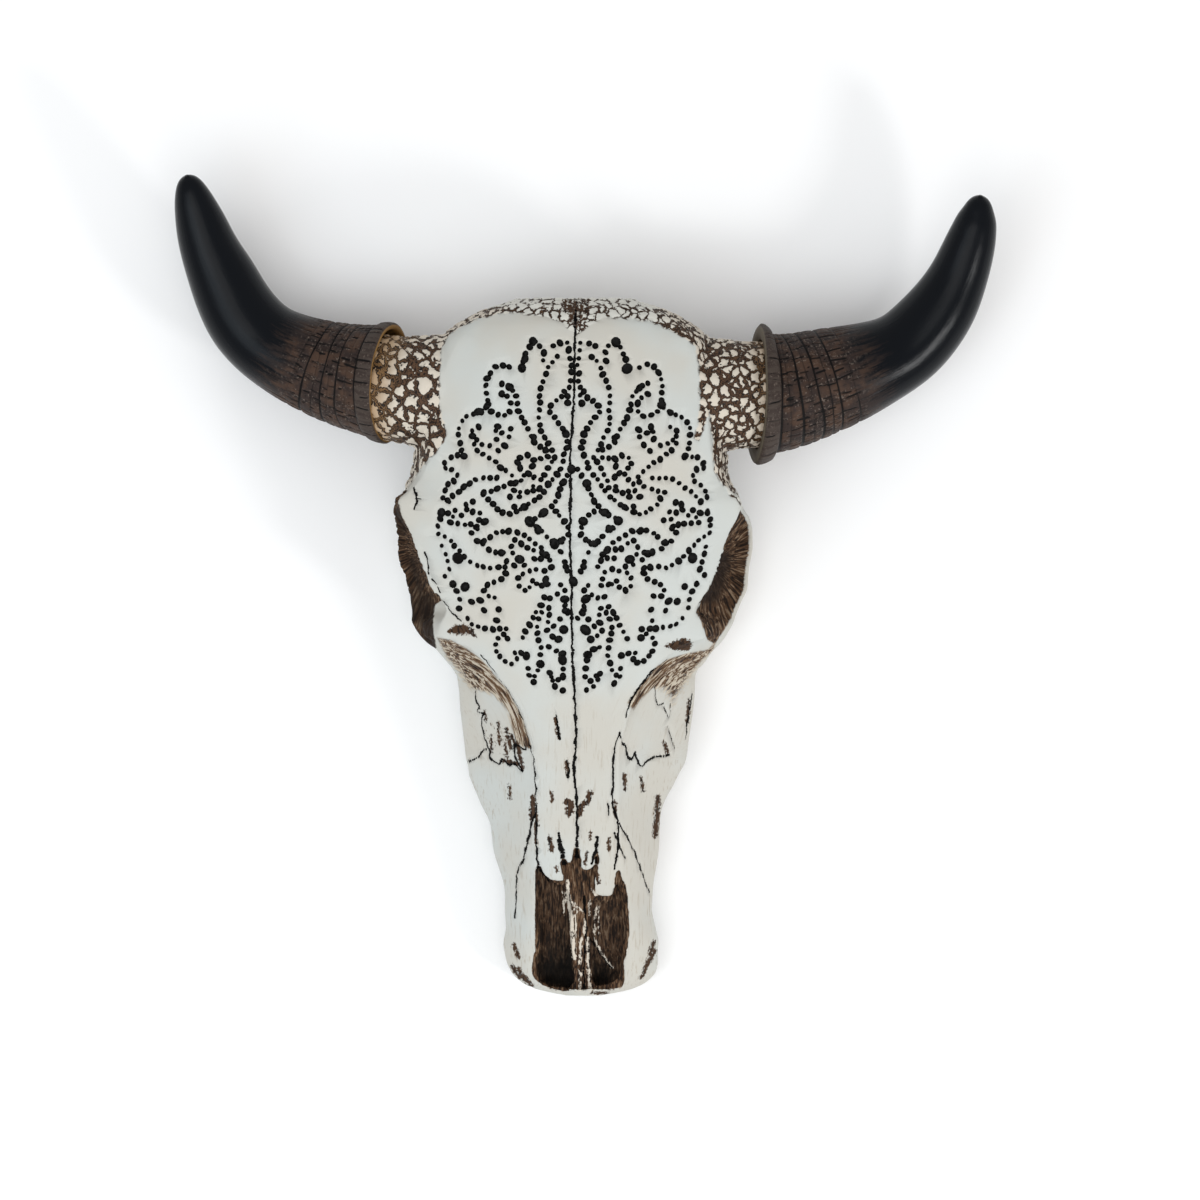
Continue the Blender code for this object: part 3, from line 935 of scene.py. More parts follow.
def net_cells(nodes, place, island):
    """Distance to the nearest strand of a net of one size, in millimetres."""
    cells = nodes.add("ShaderNodeTexVoronoi", {"feature": "DISTANCE_TO_EDGE"},
                      {"Vector": place, "Scale": 1 / (island * MM), "Randomness": 0.9})
    return cells * island


def net_gap(nodes, place):
    """Distance to the nearest strand of the net, in millimetres."""
    split = nodes.add("ShaderNodeSeparateXYZ", {}, {0: place}, "X")
    finer = (split / MM).step(*FINE_RIGHT).most((split.out("Y") / MM).step(*FINE_BACK))
    wobble = nodes.noise(place, 3.6, detail=2.0, output="Color")
    wobble = nodes.scaled(nodes.vector("SUBTRACT", wobble, (0.5, 0.5, 0.5)), 5.5 * MM)
    place = nodes.vector("MULTIPLY", nodes.vector("ADD", place, wobble), (1.0, 0.85, 1.0))
    coarse = net_cells(nodes, place, ISLAND) * 0.9
    return coarse + (net_cells(nodes, place, FINE_ISLAND) * 1.12 - coarse) * finer


def grain_lines(nodes, grain, width):
    """Streaks that run with the grain, from 0 to 1."""
    stretched = nodes.vector("MULTIPLY", grain, (1.0, 0.06, 0.4))
    return nodes.noise(stretched, width, detail=3.0, roughness=0.6)


print("islands every", ISLAND, "or", FINE_ISLAND, "mm")


# %% Tree that sinks the relief
def named_input(tree, name, kind, value=None):
    socket = tree.interface.new_socket(name, in_out="INPUT", socket_type=kind)
    if value is not None:
        socket.default_value = value
    return socket


def new_tree(name):
    """Empty geometry tree with its geometry in and out."""
    tree = bpy.data.node_groups.new(name, "GeometryNodeTree")
    named_input(tree, "Geometry", "NodeSocketGeometry")
    tree.interface.new_socket("Geometry", in_out="OUTPUT", socket_type="NodeSocketGeometry")
    return tree


def attribute(nodes, name, kind="FLOAT"):
    return nodes.add("GeometryNodeInputNamedAttribute", {"data_type": kind}, {"Name": name})


def end_tree(nodes, geometry, material):
    """Realize what the tree made, give it its material and hand it out."""
    geometry = nodes.add("GeometryNodeRealizeInstances", {}, {"Geometry": geometry})
    geometry = nodes.add("GeometryNodeSetMaterial", {}, {"Geometry": geometry, "Material": material})
    nodes.add("NodeGroupOutput", {}, {0: geometry})


def relief_tree(material):
    tree = new_tree("relief")
    named_input(tree, "Net depth", "NodeSocketFloat", NET_DEPTH)
    named_input(tree, "Grain depth", "NodeSocketFloat", GRAIN_DEPTH)
    nodes = Nodes(tree)
    geometry = nodes.add("NodeGroupInput", {}, {}, "Geometry")
    place = nodes.add("GeometryNodeInputPosition")
    gap = net_gap(nodes, place)
    net = attribute(nodes, "net").step(-1.5, 1.0) * gap.step(1.9, 0.5) * geometry.out("Net depth")
    streaks = grain_lines(nodes, attribute(nodes, "grain", "FLOAT_VECTOR"), 3.2).step(0.42, 0.6)
    hollow = attribute(nodes, "socket").most(attribute(nodes, "cheek")).most(attribute(nodes, "nose"))
    wood = hollow.step(-2.0, 1.0) * streaks * geometry.out("Grain depth")
    chips = attribute(nodes, "stain").step(-1.0, 0.6) * CHIP_DEPTH
    waves = nodes.noise(place, 26.0, detail=1.0).step(0.3, 0.7) * WAVE_DEPTH
    sink = (net + wood + chips + waves) * -MM
    moved = nodes.add("GeometryNodeSetPosition", {}, {"Geometry": geometry,
                      "Offset": nodes.scaled(nodes.add("GeometryNodeInputNormal"), sink)})
    end_tree(nodes, moved, material)
    return tree


def use_tree(item, tree, values):
    """Run a geometry tree on a piece and keep the plain mesh that it gives.

    The values are for inputs that have no default, such as objects.
    """
    modifier = item.modifiers.new(tree.name, "NODES")
    modifier.node_group = tree
    for entry in tree.interface.items_tree:
        if entry.item_type == "SOCKET" and entry.in_out == "INPUT" and entry.name in values:
            modifier[entry.identifier] = values[entry.name]
    return settle(item)


bone = bpy.data.materials.new("bone")
use_tree(skull, relief_tree(bone), {})
print("relief sunk:", round(time.time() - started, 1), "s")

# %% Spend faces where the form needs them
SKIN_FACES = 108000
modifier = skull.modifiers.new("fewer", "DECIMATE")
skull.data.update()
modifier.ratio = SKIN_FACES / (2 * len(skull.data.polygons))
modifier.use_collapse_triangulate = True
settle(skull)
print("skull after decimation:", len(skull.data.polygons), "faces", round(time.time() - started, 1), "s")

# %% [markdown]
# ## The dots
# The maker drilled the lace freehand with a small round burr, curl by curl, and mirrored it
# across the seam. So the lace is kept as the curls that the burr followed. A geometry tree sets
# dots along them, drops each one onto the bone and drills it square to the skin.

# %% The curls of the left half, in pixels of the picture
CURLS = [
    [(568, 343), (560, 343), (553, 346)],
    [(522, 368), (525, 355), (533, 342), (539.5, 346), (544, 354), (543.6, 360)],
    [(557, 356), (550, 364), (547, 373), (540.5, 388), (539.5, 405), (540, 427), (547.5, 443), (555, 457)],
    [(569.5, 350), (571, 362.5), (570, 380), (567, 403)],
    [(565, 391), (561, 398), (552.5, 404), (550, 415), (556, 419), (562, 428), (567, 445),
     (564, 456), (559, 470), (548, 485), (538, 497.5), (524, 506.6), (508.6, 514.7), (496, 508), (484, 493)],
    [(509, 367), (501, 365), (491, 371), (486, 385), (487, 405), (478, 412), (464, 418.5),
     (459, 428.5), (460, 445), (464, 456)],
    [(464, 456), (451.5, 457), (443, 466), (451, 469), (457, 479), (448, 485), (442, 496.5), (448, 501)],
    [(441, 512), (438, 524), (439, 535), (448, 538), (457, 549), (470, 561), (483, 567),
     (499.6, 567), (507, 569.5), (501, 579), (491, 584), (484, 588), (487, 596), (495, 597)],
    [(442, 546), (449, 568.5), (444, 575.6)],
    [(452, 584), (459, 596), (459.5, 608)],
    [(501, 383), (509.6, 387), (515.6, 395), (519, 410), (528, 429.5), (538, 446), (546, 450)],
    [(501, 394), (508, 397), (511, 409), (504, 416), (491, 411)],
    [(511, 429), (508, 442), (498.6, 450.6)],
    [(502, 433), (496, 426), (496, 439)],
    [(479, 426), (470, 433), (478, 439), (471.6, 443), (480, 444), (489, 445)],
    [(477, 451), (488, 458), (499.6, 466), (512, 477), (507, 485.5), (495, 489.6), (484, 493)],
    [(497, 478), (480, 478), (466.6, 485.5), (455, 493), (448, 501)],
    [(520, 457), (526, 455), (535, 461), (533, 467)],
    [(517, 463), (522, 471), (525, 477), (515, 484), (514, 491), (523, 492), (531, 492), (540, 488)],
    [(529, 473), (541, 480), (549, 465), (555, 457), (540.5, 458)],
    [(520, 497), (510, 497), (515, 506)],
    [(534, 478), (534, 487)],
    [(473.5, 501.5), (463.5, 507), (473.5, 512), (480.5, 514), (472, 533)],
    [(455, 510), (450.6, 510), (448, 516.6), (460.6, 515.7)],
    [(450, 522), (463, 524), (471, 525), (477.5, 528.5)],
    [(477, 541), (487, 540), (499, 531.5), (517.5, 532), (534, 542), (546, 555), (551.5, 567)],
    [(488, 549), (500.6, 553), (509, 549), (515, 540)],
    [(513, 553.5), (505, 562), (499.6, 567)],
    [(519, 559), (514, 565), (524, 566)],
    [(522, 543.5), (526, 548), (541, 551), (540.5, 559), (534, 559)],
    [(543.6, 571.5), (534, 569), (521, 574.6), (517, 582), (526, 591.6), (534, 579), (538.6, 587),
     (547, 579), (548, 585)],
    [(570.6, 469.6), (563, 483), (559, 492.7), (551.5, 506), (541, 515.7), (530, 521), (539, 529),
     (547, 536), (554, 544), (561, 541), (568, 534), (565, 522), (555, 511)],
    [(561, 552.6), (566, 567), (568, 571)],
    [(560, 584.6), (565, 591), (564, 599), (565, 610), (572, 618.5)],
    [(557, 594), (548, 600), (544, 597)],
    [(540.5, 606), (533, 618), (525.5, 632), (522.6, 638)],
    [(542, 613), (537, 627), (540.5, 650), (539.5, 664), (531, 679), (528.5, 669)],
    [(548, 608), (549.6, 615.6), (548, 627), (549, 634), (558.7, 639.7)],
    [(549, 647), (555, 650), (561.5, 655), (564, 670), (561, 680), (554, 679), (548.6, 672),
     (555, 686), (562, 690)],
    [(467, 619), (476, 625.6), (493.6, 629), (507, 630), (495, 641), (498, 655), (510, 663),
     (516.6, 661), (514, 652.6), (527, 655.5)],
    [(483, 610), (484, 615.6)],
]
# The larger dots, where the burr was leaned on: place and radius
BIG_DOTS = [
    (522, 368, 5), (533, 342, 4.5), (524, 359, 3.2), (567, 403, 3.5), (565, 434, 4), (548, 485, 3.3),
    (524, 506.6, 3.5), (487, 405, 4), (478, 412, 4), (464, 456, 4.5), (451.5, 457, 3.3), (441, 512, 4),
    (457, 559, 5), (464, 587, 4.7), (452, 584, 3.5), (470, 561, 3.2), (509.6, 387, 3.5), (534, 437, 3.8),
    (546, 450, 3.5), (501, 394, 3.5), (485, 521, 4), (508.6, 531, 4.5), (483, 542.5, 3.5), (546, 555, 3.5),
    (500.6, 553, 3.8), (519, 559, 4), (563, 483, 4), (570.6, 469.6, 4.5), (543.8, 513, 4.5), (530, 521, 5.5),
    (539, 529, 4.3), (554, 544, 4.3), (561, 541, 3.5), (565, 522, 4.3), (573.5, 581.6, 5.2), (566, 567, 4),
    (564, 599, 4), (565, 610, 4), (539.5, 664, 4.3), (534, 683, 3.8), (558.7, 639.7, 3.7), (561.5, 655, 4),
    (562.5, 661, 4), (560, 619, 3.5), (564, 630, 4.5), (554, 625.6, 2.6), (493.6, 629, 4.5),
    (527, 655.5, 4.6), (507.5, 638, 3.7), (472, 601, 3.7), (480, 601, 3.2), (498, 609, 2.9), (496.5, 620, 3),
]
SEAM_PIXEL = 574.5
SEAM_EDGE = 570      # big dots further right lie on the seam itself and have no partner
DOT_RADIUS = 2.9


def mirrored(points):
    """The same places on the other side of the seam."""
    return [(2 * SEAM_PIXEL - point[0],) + tuple(point[1:]) for point in points]


def curve_object(lines, name, radius=1.0, place=on_face):
    """Curve object with a smooth line through each list of places."""
    data = bpy.data.curves.new(name, "CURVE")
    data.dimensions = "3D"
    for line in lines:
        path = smooth_path(place(line), 6)
        spline = data.splines.new("POLY")
        spline.points.add(len(path) - 1)
        flat = np.column_stack([path * MM, np.zeros(len(path)), np.ones(len(path))])
        spline.points.foreach_set("co", flat.ravel())
        spline.points.foreach_set("radius", np.full(len(path), radius))
    item = bpy.data.objects.new(name, data)
    scene.collection.objects.link(item)
    return item


both_halves = CURLS + [mirrored(curl) for curl in CURLS]
curls = curve_object(both_halves, "curls", DOT_RADIUS * PIXEL * MM, on_crown)
off_seam = [dot for dot in BIG_DOTS if dot[0] < SEAM_EDGE]
big = np.array(BIG_DOTS + mirrored(off_seam), dtype=float)
big_dots = bpy.data.objects.new("big_dots", bpy.data.meshes.new("big_dots"))
scene.collection.objects.link(big_dots)
big_dots.data.from_pydata(np.column_stack([on_crown(big) * MM, np.zeros(len(big))]).tolist(), [], [])
store(big_dots, "radius", big[:, 2] * PIXEL * MM)
print("curls:", 2 * len(CURLS), "big dots:", len(big))


# %% Tree that drills the dots
def from_object(nodes, item_input):
    return nodes.add("GeometryNodeObjectInfo", {}, {"Object": item_input}, "Geometry")


def dropped(nodes, points, target):
    """Points moved straight down onto a target, and the normal of the skin there."""
    place = nodes.add("GeometryNodeInputPosition")
    start = nodes.vector("ADD", nodes.vector("MULTIPLY", place, (1.0, 1.0, 0.0)), (0.0, 0.0, 0.3))
    hit = nodes.add("GeometryNodeRaycast", {}, {"Target Geometry": target, "Source Position": start,
                    "Ray Direction": (0.0, 0.0, -1.0), "Ray Length": 1.0}, "Hit Position")
    moved = nodes.add("GeometryNodeSetPosition", {}, {"Geometry": points, "Position": hit})
    return moved, hit.out("Hit Normal")


def cut_away(nodes, skin_geometry, tools, uncut):
    """Subtract tools from the skin, and store how deep each point lies under the uncut skin."""
    facets = nodes.add("GeometryNodeTriangulate", {}, {"Mesh": skin_geometry})
    cut = nodes.add("GeometryNodeMeshBoolean", {"operation": "DIFFERENCE", "solver": "MANIFOLD"},
                    {"Mesh 1": facets, "Mesh 2": tools})
    gap = nodes.add("GeometryNodeProximity", {"target_element": "FACES"}, {0: uncut}, "Distance")
    return nodes.add("GeometryNodeStoreNamedAttribute", {"data_type": "FLOAT", "domain": "POINT"},
                     {"Geometry": cut, "Name": "cut", "Value": gap * (1 / MM)})


def spread(nodes, low, high, seed):
    """Random number between two limits for each point."""
    return nodes.add("FunctionNodeRandomValue", {"data_type": "FLOAT"}, {2: low, 3: high, "Seed": seed}, 1)


def upright(nodes, normal):
    return nodes.add("FunctionNodeAlignRotationToVector", {"axis": "Z"}, {"Vector": normal})


def cutter_cone(nodes, sides, top, bottom):
    """Blunt cone from half above its place to 1 below it, before it is scaled."""
    cone = nodes.add("GeometryNodeMeshCone", {}, {"Vertices": sides, "Radius Top": top,
                     "Radius Bottom": bottom, "Depth": 1.5})
    return nodes.add("GeometryNodeTransform", {}, {"Geometry": cone, "Translation": (0.0, 0.0, -1.0)})


NUDGE = 0.55 * MM    # how far a dot may stray from its curl


def drill_tree(material):
    tree = new_tree("drill")
    named_input(tree, "Uncut skin", "NodeSocketObject")
    named_input(tree, "Curls", "NodeSocketObject")
    named_input(tree, "Big dots", "NodeSocketObject")
    named_input(tree, "Pitch", "NodeSocketFloat", 6.9 * PIXEL * MM)
    named_input(tree, "Depth", "NodeSocketFloat", 2.6 * MM)
    named_input(tree, "Seed", "NodeSocketInt", 7)
    nodes = Nodes(tree)
    group = nodes.add("NodeGroupInput", {}, {}, "Geometry")
    seed = group.out("Seed")
    uncut = from_object(nodes, group.out("Uncut skin"))
    dots = nodes.add("GeometryNodeCurveToPoints", {"mode": "LENGTH"},
                     {"Curve": from_object(nodes, group.out("Curls")), "Length": group.out("Pitch")})
    large = nodes.add("GeometryNodeMeshToPoints", {}, {"Mesh": from_object(nodes, group.out("Big dots")),
                      "Radius": attribute(nodes, "radius")})
    points = nodes.add("GeometryNodeJoinGeometry", {}, {0: [dots, large]})
    nudge = nodes.add("FunctionNodeRandomValue", {"data_type": "FLOAT_VECTOR"},
                      {0: (-NUDGE, -NUDGE, 0.0), 1: (NUDGE, NUDGE, 0.0), "Seed": seed})
    points = nodes.add("GeometryNodeSetPosition", {}, {"Geometry": points, "Offset": nudge})
    points, normal = dropped(nodes, points, uncut)
    burr = cutter_cone(nodes, sides=10, top=1.1, bottom=0.85)
    wide = nodes.add("GeometryNodeInputRadius") * spread(nodes, 0.78, 1.22, seed + 1)
    long = wide * spread(nodes, 0.95, 1.3, seed + 3)
    size = nodes.add("ShaderNodeCombineXYZ", {}, {0: wide, 1: long, 2: group.out("Depth")})
    spin = nodes.add("ShaderNodeCombineXYZ", {}, {2: spread(nodes, 0.0, 6.28, seed + 2)})
    spin = nodes.add("FunctionNodeEulerToRotation", {}, {0: spin})
    turn = nodes.add("FunctionNodeRotateRotation", {"rotation_space": "LOCAL"},
                     {0: upright(nodes, normal), 1: spin})
    burrs = nodes.add("GeometryNodeInstanceOnPoints", {}, {"Points": points, "Instance": burr,
                      "Rotation": turn, "Scale": size})
    end_tree(nodes, cut_away(nodes, group, burrs, uncut), material)
    return tree


uncut = bpy.data.objects.new("uncut", skull.data.copy())
scene.collection.objects.link(uncut)
use_tree(skull, drill_tree(bone), {"Uncut skin": uncut, "Curls": curls, "Big dots": big_dots})
print("drilled:", len(skull.data.polygons), "faces", round(time.time() - started, 1), "s")

# %% [markdown]
# ## Seam and cracks
# A skull is several bones grown together. The wavy lines where they meet, and the cracks of
# age, are cut with a fine knife, nick after nick. A tree sets the nicks along each line, turns
# them the way the line runs and subtracts them, so every line is a real groove.

# %% The lines, in pixels of the picture, with their half width in millimetres
CRACKS = [
    (0.8, [(576, 312), (575, 345), (574, 400), (571, 450), (571, 500), (570, 540), (572, 585),
            (572, 640), (575, 700), (576, 740), (574, 770), (577, 800), (577, 846)]),
    (0.8, [(475, 688), (476, 700), (479, 707), (477.5, 712), (484.5, 713.5), (482, 717), (483, 729),
           (485, 739), (488.5, 748), (490, 757), (493, 761), (499, 763), (503, 759), (509, 764),
           (514, 763), (523, 770), (517, 760), (515, 752), (516, 744), (526, 749), (524.5, 742)]),
    (0.4, [(654, 688), (657, 703), (663, 703)]),
    (0.45, [(664, 707), (669, 717), (670, 705)]),
    (0.35, [(667.6, 727), (674.8, 748)]),
    (0.8, [(486, 749), (476, 758), (467, 762)]),
    (0.5, [(440, 597), (449, 608), (461, 620)]),
    (0.9, [(401, 500), (405, 493), (409, 486)]),
    (0.9, [(414, 489), (418, 499), (416, 509)]),
    (0.5, [(418, 499), (422, 500)]),
    (0.5, [(426, 553), (429, 563), (430, 574)]),
    (0.5, [(433, 580), (437, 584)]),
    (0.5, [(439, 588), (441, 592)]),
    (0.9, [(535, 814), (531, 826), (526, 848), (522, 863), (518, 869), (516, 886), (516, 904), (514, 917)]),
    (0.8, [(620, 823), (631, 844), (641, 869), (649, 892)]),
    (0.5, [(615, 833), (620, 846), (625, 857)]),
    (0.8, [(620, 732), (622, 741), (625, 744), (626, 748), (628, 757), (632, 758), (635, 752),
            (637, 757), (639, 764), (643, 765), (651, 758), (660, 756), (669, 755)]),
    (0.6, [(620, 732), (614, 751), (613, 778), (613, 804), (618, 820)]),
    (0.6, [(692, 695), (688, 719), (686, 738)]),
    (0.6, [(533, 755), (536, 790), (536, 830), (537, 858)]),
    (0.6, [(556, 716), (558, 727), (560, 738)]),
    (0.6, [(567, 760), (569, 768), (568, 776)]),
    (0.5, [(608, 804), (609, 814)]),
    (0.5, [(589, 938), (598, 951), (612, 969)]),
    (0.6, [(584, 896), (586, 930), (584, 960), (584, 990)]),
    (0.6, [(482, 655), (493, 668.5), (502.7, 683), (512, 696), (520, 711.6), (525.6, 727), (532, 753)]),
    (0.6, [(666, 660), (652, 671), (640, 686), (630, 701), (626, 716)]),
    (1.2, [(559, 833), (561, 848), (565, 863)]),
    (1.2, [(597, 836), (596, 850), (592, 863)]),
    (1.2, [(577, 846), (577, 856)]),
    (0.7, [(537, 858), (541, 870), (549, 880)]),
    (0.7, [(618, 820), (618, 848), (614, 868)]),
]
print("lines:", len(CRACKS))

# %% Tree that cuts the lines
NICK_DEPTH = 1.6 * MM
LEAST_WIDTH = 0.4 * MM


def crack_object(lines, name):
    """Curve object whose lines carry their half width as radius."""
    item = curve_object([points for width, points in lines], name)
    for spline, (width, points) in zip(item.data.splines, lines):
        spline.points.foreach_set("radius", np.full(len(spline.points), width * MM))
    return item


def crack_tree(material):
    tree = new_tree("crack")
    named_input(tree, "Uncut skin", "NodeSocketObject")
    named_input(tree, "Lines", "NodeSocketObject")
    named_input(tree, "Pitch", "NodeSocketFloat", 1.1 * MM)
    named_input(tree, "Waver", "NodeSocketFloat", 3.0 * MM)
    nodes = Nodes(tree)
    group = nodes.add("NodeGroupInput", {}, {}, "Geometry")
    pitch = group.out("Pitch")
    uncut = from_object(nodes, group.out("Uncut skin"))
    row = nodes.add("GeometryNodeCurveToPoints", {"mode": "LENGTH"},
                    {"Curve": from_object(nodes, group.out("Lines")), "Length": pitch})
    place = nodes.add("GeometryNodeInputPosition")
    shake = nodes.noise(place, 4.5, detail=3.0, roughness=0.6, output="Color")
    shake = nodes.scaled(nodes.vector("SUBTRACT", shake, (0.5, 0.5, 0.5)), group.out("Waver"))
    points = nodes.add("GeometryNodeSetPosition", {}, {"Geometry": row, "Offset": shake})
    points, normal = dropped(nodes, points, uncut)
    rough = nodes.noise(place, 5.0, detail=2.0).step(0.3, 0.75)
    wide = nodes.add("GeometryNodeInputRadius") * (rough * 1.5 + 0.85)
    nick = cutter_cone(nodes, sides=6, top=1.0, bottom=0.5)
    size = nodes.add("ShaderNodeCombineXYZ", {}, {0: pitch * 1.2, 1: wide.most(LEAST_WIDTH), 2: NICK_DEPTH})
    turn = nodes.add("FunctionNodeAlignRotationToVector", {"axis": "X", "pivot_axis": "Z"},
                     {"Rotation": upright(nodes, normal), "Vector": row.out("Tangent")})
    nicks = nodes.add("GeometryNodeInstanceOnPoints", {}, {"Points": points, "Instance": nick,
                      "Rotation": turn, "Scale": size})
    end_tree(nodes, cut_away(nodes, group, nicks, uncut), material)
    return tree


lines = crack_object(CRACKS, "cracks")
use_tree(skull, crack_tree(bone), {"Uncut skin": uncut, "Lines": lines})
remove([curls, big_dots, lines, uncut])
low, high = np.array(cad_box) / MM
boxed = np.clip(places_of(skull), low, high) * MM
skull.data.vertices.foreach_set("co", boxed.ravel())
print("cracked:", len(skull.data.polygons), "faces", round(time.time() - started, 1), "s")

# %% [markdown]
# ## Horns
# A horn grows in rings, and near its mouth the rings dry out and split lengthwise into small
# blocks. The tube's radius dips wherever a ring or a split runs, and the dips fade to a smooth
# black tip. How deep each point dips is stored for the paint.

# %% Splits and rings of a horn
BORE_DEPTH = 33
HORN_TURNS = 340
MOUTH_LEAN = {"left": 3.4, "right": -2.6}   # how far the low side of the mouth leans to the skull
BLOCKS_END = 52      # distance from the mouth where the last ring runs
# Distance of each ring from the mouth, and how deep it is cut
RINGS = {
    "left": [(8.5, 1), (14.5, 0.45), (20.5, 1), (26, 0.4), (31.5, 1), (37.5, 0.4), (44, 0.9),
             (BLOCKS_END, 0.4)],
    "right": [(8.5, 1), (13, 0.5), (18.5, 0.9), (24, 0.5), (29, 1), (35, 0.5), (41, 1),
              (BLOCKS_END, 0.6)],
}
RING_WIDTH = 1.0      # half width of a ring's groove
DIP_WIDTH = 4.5       # half width of the broad dip round it
COLLAR_SPLITS = 26    # splits round the collar
BLOCK_SPLITS = 30     # splits round each band of blocks
LONG_SPLITS = 46      # thin splits that run on towards the tip
GROOVE_DEPTH = 1.05
DIP_DEPTH = 0.55


def wander(turns, chance, waves=6):
    """Smooth closed wobble round the horn, about 1 in size."""
    total = np.zeros(len(turns))
    for wave in range(1, waves + 1):
        total += np.sin(wave * turns + chance.uniform(0, 6.3)) * chance.uniform(0.4, 1) / wave**0.7
    return total / 1.8


def groove(gap, width):
    """Depth from 0 to 1 across a groove of a half width."""
    return np.clip(1 - np.abs(gap) / width, 0, 1)


def horn_relief(s, turns, radius, marks, chance):
    """How deep each point lies in a ring or a split, and in the broad dips at the rings, from 0 to 1."""
    depth = np.zeros((len(s), len(turns)))
    dips = np.zeros((len(s), len(turns)))
    edges = [0.0] + [place for place, strength in marks]
    for place, strength in marks:
        line = place + wander(turns, chance) * 0.9
        uneven = np.clip(strength * (0.8 + 0.35 * wander(turns, chance)), 0.15, 1)[None]
        depth = np.maximum(depth, groove(s[:, None] - line[None], RING_WIDTH) * uneven)
        dips = np.maximum(dips, groove(s[:, None] - line[None], DIP_WIDTH) * uneven)
    for index in range(len(edges) - 1):
        count = BLOCK_SPLITS if index else COLLAR_SPLITS
        for number in range(count):
            middle = (number + chance.uniform(-0.36, 0.36)) * 2 * math.pi / count
            lean = chance.uniform(-0.005, 0.005)
            low = edges[index] + chance.uniform(-2.5, 3) * (index > 0)
            high = edges[index + 1] + chance.uniform(-3, 4)
            along_split = (s[:, None] - low) / max(high - low, 1)
            gap = (turns[None] - middle - lean * (s[:, None] - low) + math.pi) % (2 * math.pi) - math.pi
            ends = np.clip(along_split * 6, 0, 1) * np.clip((1 - along_split) * 6, 0, 1)
            wide = chance.uniform(0.55, 1.0)
            depth = np.maximum(depth, groove(gap * radius[:, None], wide) * ends * chance.uniform(0.4, 1))
    for number in range(LONG_SPLITS):
        middle = (number + chance.uniform(-0.4, 0.4)) * 2 * math.pi / LONG_SPLITS
        reach = chance.uniform(4, 28)
        along_split = (s[:, None] - BLOCKS_END + 4) / reach
        gap = (turns[None] - middle + math.pi) % (2 * math.pi) - math.pi
        ends = np.clip(along_split * 4, 0, 1) * np.clip(1 - along_split, 0, 1)
        depth = np.maximum(depth, groove(gap * radius[:, None], 0.8) * ends * chance.uniform(0.3, 0.9))
    return depth, dips


print("rings of the left horn at", [place for place, strength in RINGS["left"]], "mm")


# %% Girth along a horn
BORE_PLACES = [BORE_DEPTH, 28, 24, 20, 15, 10, 6, 3, 1.2]
RIM_PLACES = [0.25, 0.0]
CARVED_STEP = 0.6    # millimetres between rings of points on the carved part
PLAIN_STEP = 1.6     # the same on the smooth part
CARVED_END = 88      # distance from the mouth where the smooth part starts
TIP_LENGTH = 12


def outer_places(length):
    """Distances from the mouth of the rings of points on the outside."""
    tip = length - TIP_LENGTH * np.cos(np.linspace(0, math.pi / 2, 14))**1.6
    return np.concatenate([np.arange(CARVED_STEP, CARVED_END, CARVED_STEP),
                           np.arange(CARVED_END, length - TIP_LENGTH, PLAIN_STEP), tip])


def outer_radius(girth, length, outer_s):
    """Radius of the outside, with its corners blurred between the collar and the tip."""
    profile = girth + [(length - back, max(radius, 1.2)) for back, radius in TIP_ROUNDING]
    grid = np.arange(0, length, 0.5)
    calm = np.convolve(np.pad(along(profile, grid), 30, mode="edge"), bell(12, 30), mode="valid")
    outer = along(profile, outer_s)
    share = np.clip((outer_s - 24) / 15, 0, 1) * np.clip((length - 14 - outer_s) / 10, 0, 1)
    return outer * (1 - share) + np.interp(outer_s, grid, calm) * share


print("rings of points on the left horn:", len(outer_places(left_axis.length)))


# %% Mouth and marks of a horn
def sunk_bumps(outer_s, turns, chance):
    """Millimetres that uneven patches sink the outside, most of all at the collar."""
    bumps = np.outer(np.clip((70 - outer_s) / 30, 0, 1), wander(turns, chance, 14)) * 0.4
    bumps += np.outer(np.clip((11 - outer_s) / 3, 0, 1), wander(turns, chance, 9)) * 0.55
    return np.abs(bumps)


def set_mouth(rings, s, turns, side, chance):
    """Lean the mouth as in the picture, roughen its rim, and keep the horn in the solids' box."""
    fade = np.clip(1 - s / 50, 0, 1)[:, None]
    lean = MOUTH_LEAN[side] * (1 - (rings[..., 1] - rings[0, :, 1].mean()) / 33)
    rings[..., 0] += lean * fade
    rings[..., 0] += np.outer(np.clip(1 - s / 9, 0, 1), wander(turns, chance, 9)) * 0.6
    if side == "left":
        rings[..., 1] += 1.6 * np.clip((80 - s) / 30, 0, 1)[:, None]
    low, high = np.array(cad_box) / MM
    return np.clip(rings, low + 0.05, high - 0.05)


def mark_horn(item, s, turns, relief, side):
    """Store for the paint how far the mouth is, the kind of rim, the grooves and the fibre."""
    inner = len(s) - len(relief)
    reach = np.repeat(s, HORN_TURNS)
    reach[:(inner - 1) * HORN_TURNS] = -5
    store(item, "reach", reach)
    store(item, "gilt", np.full(len(reach), 1.0 if side == "left" else 0.0))
    store(item, "groove", np.concatenate([np.zeros(inner * HORN_TURNS), relief.ravel()]))
    circle = np.column_stack([np.cos(turns), np.sin(turns)]) * 30
    fibre = np.column_stack([np.tile(circle, (len(s), 1)), np.repeat(s, HORN_TURNS) * 0.12])
    store(item, "fibre", fibre * MM, "FLOAT_VECTOR")


print("points round a horn:", HORN_TURNS)


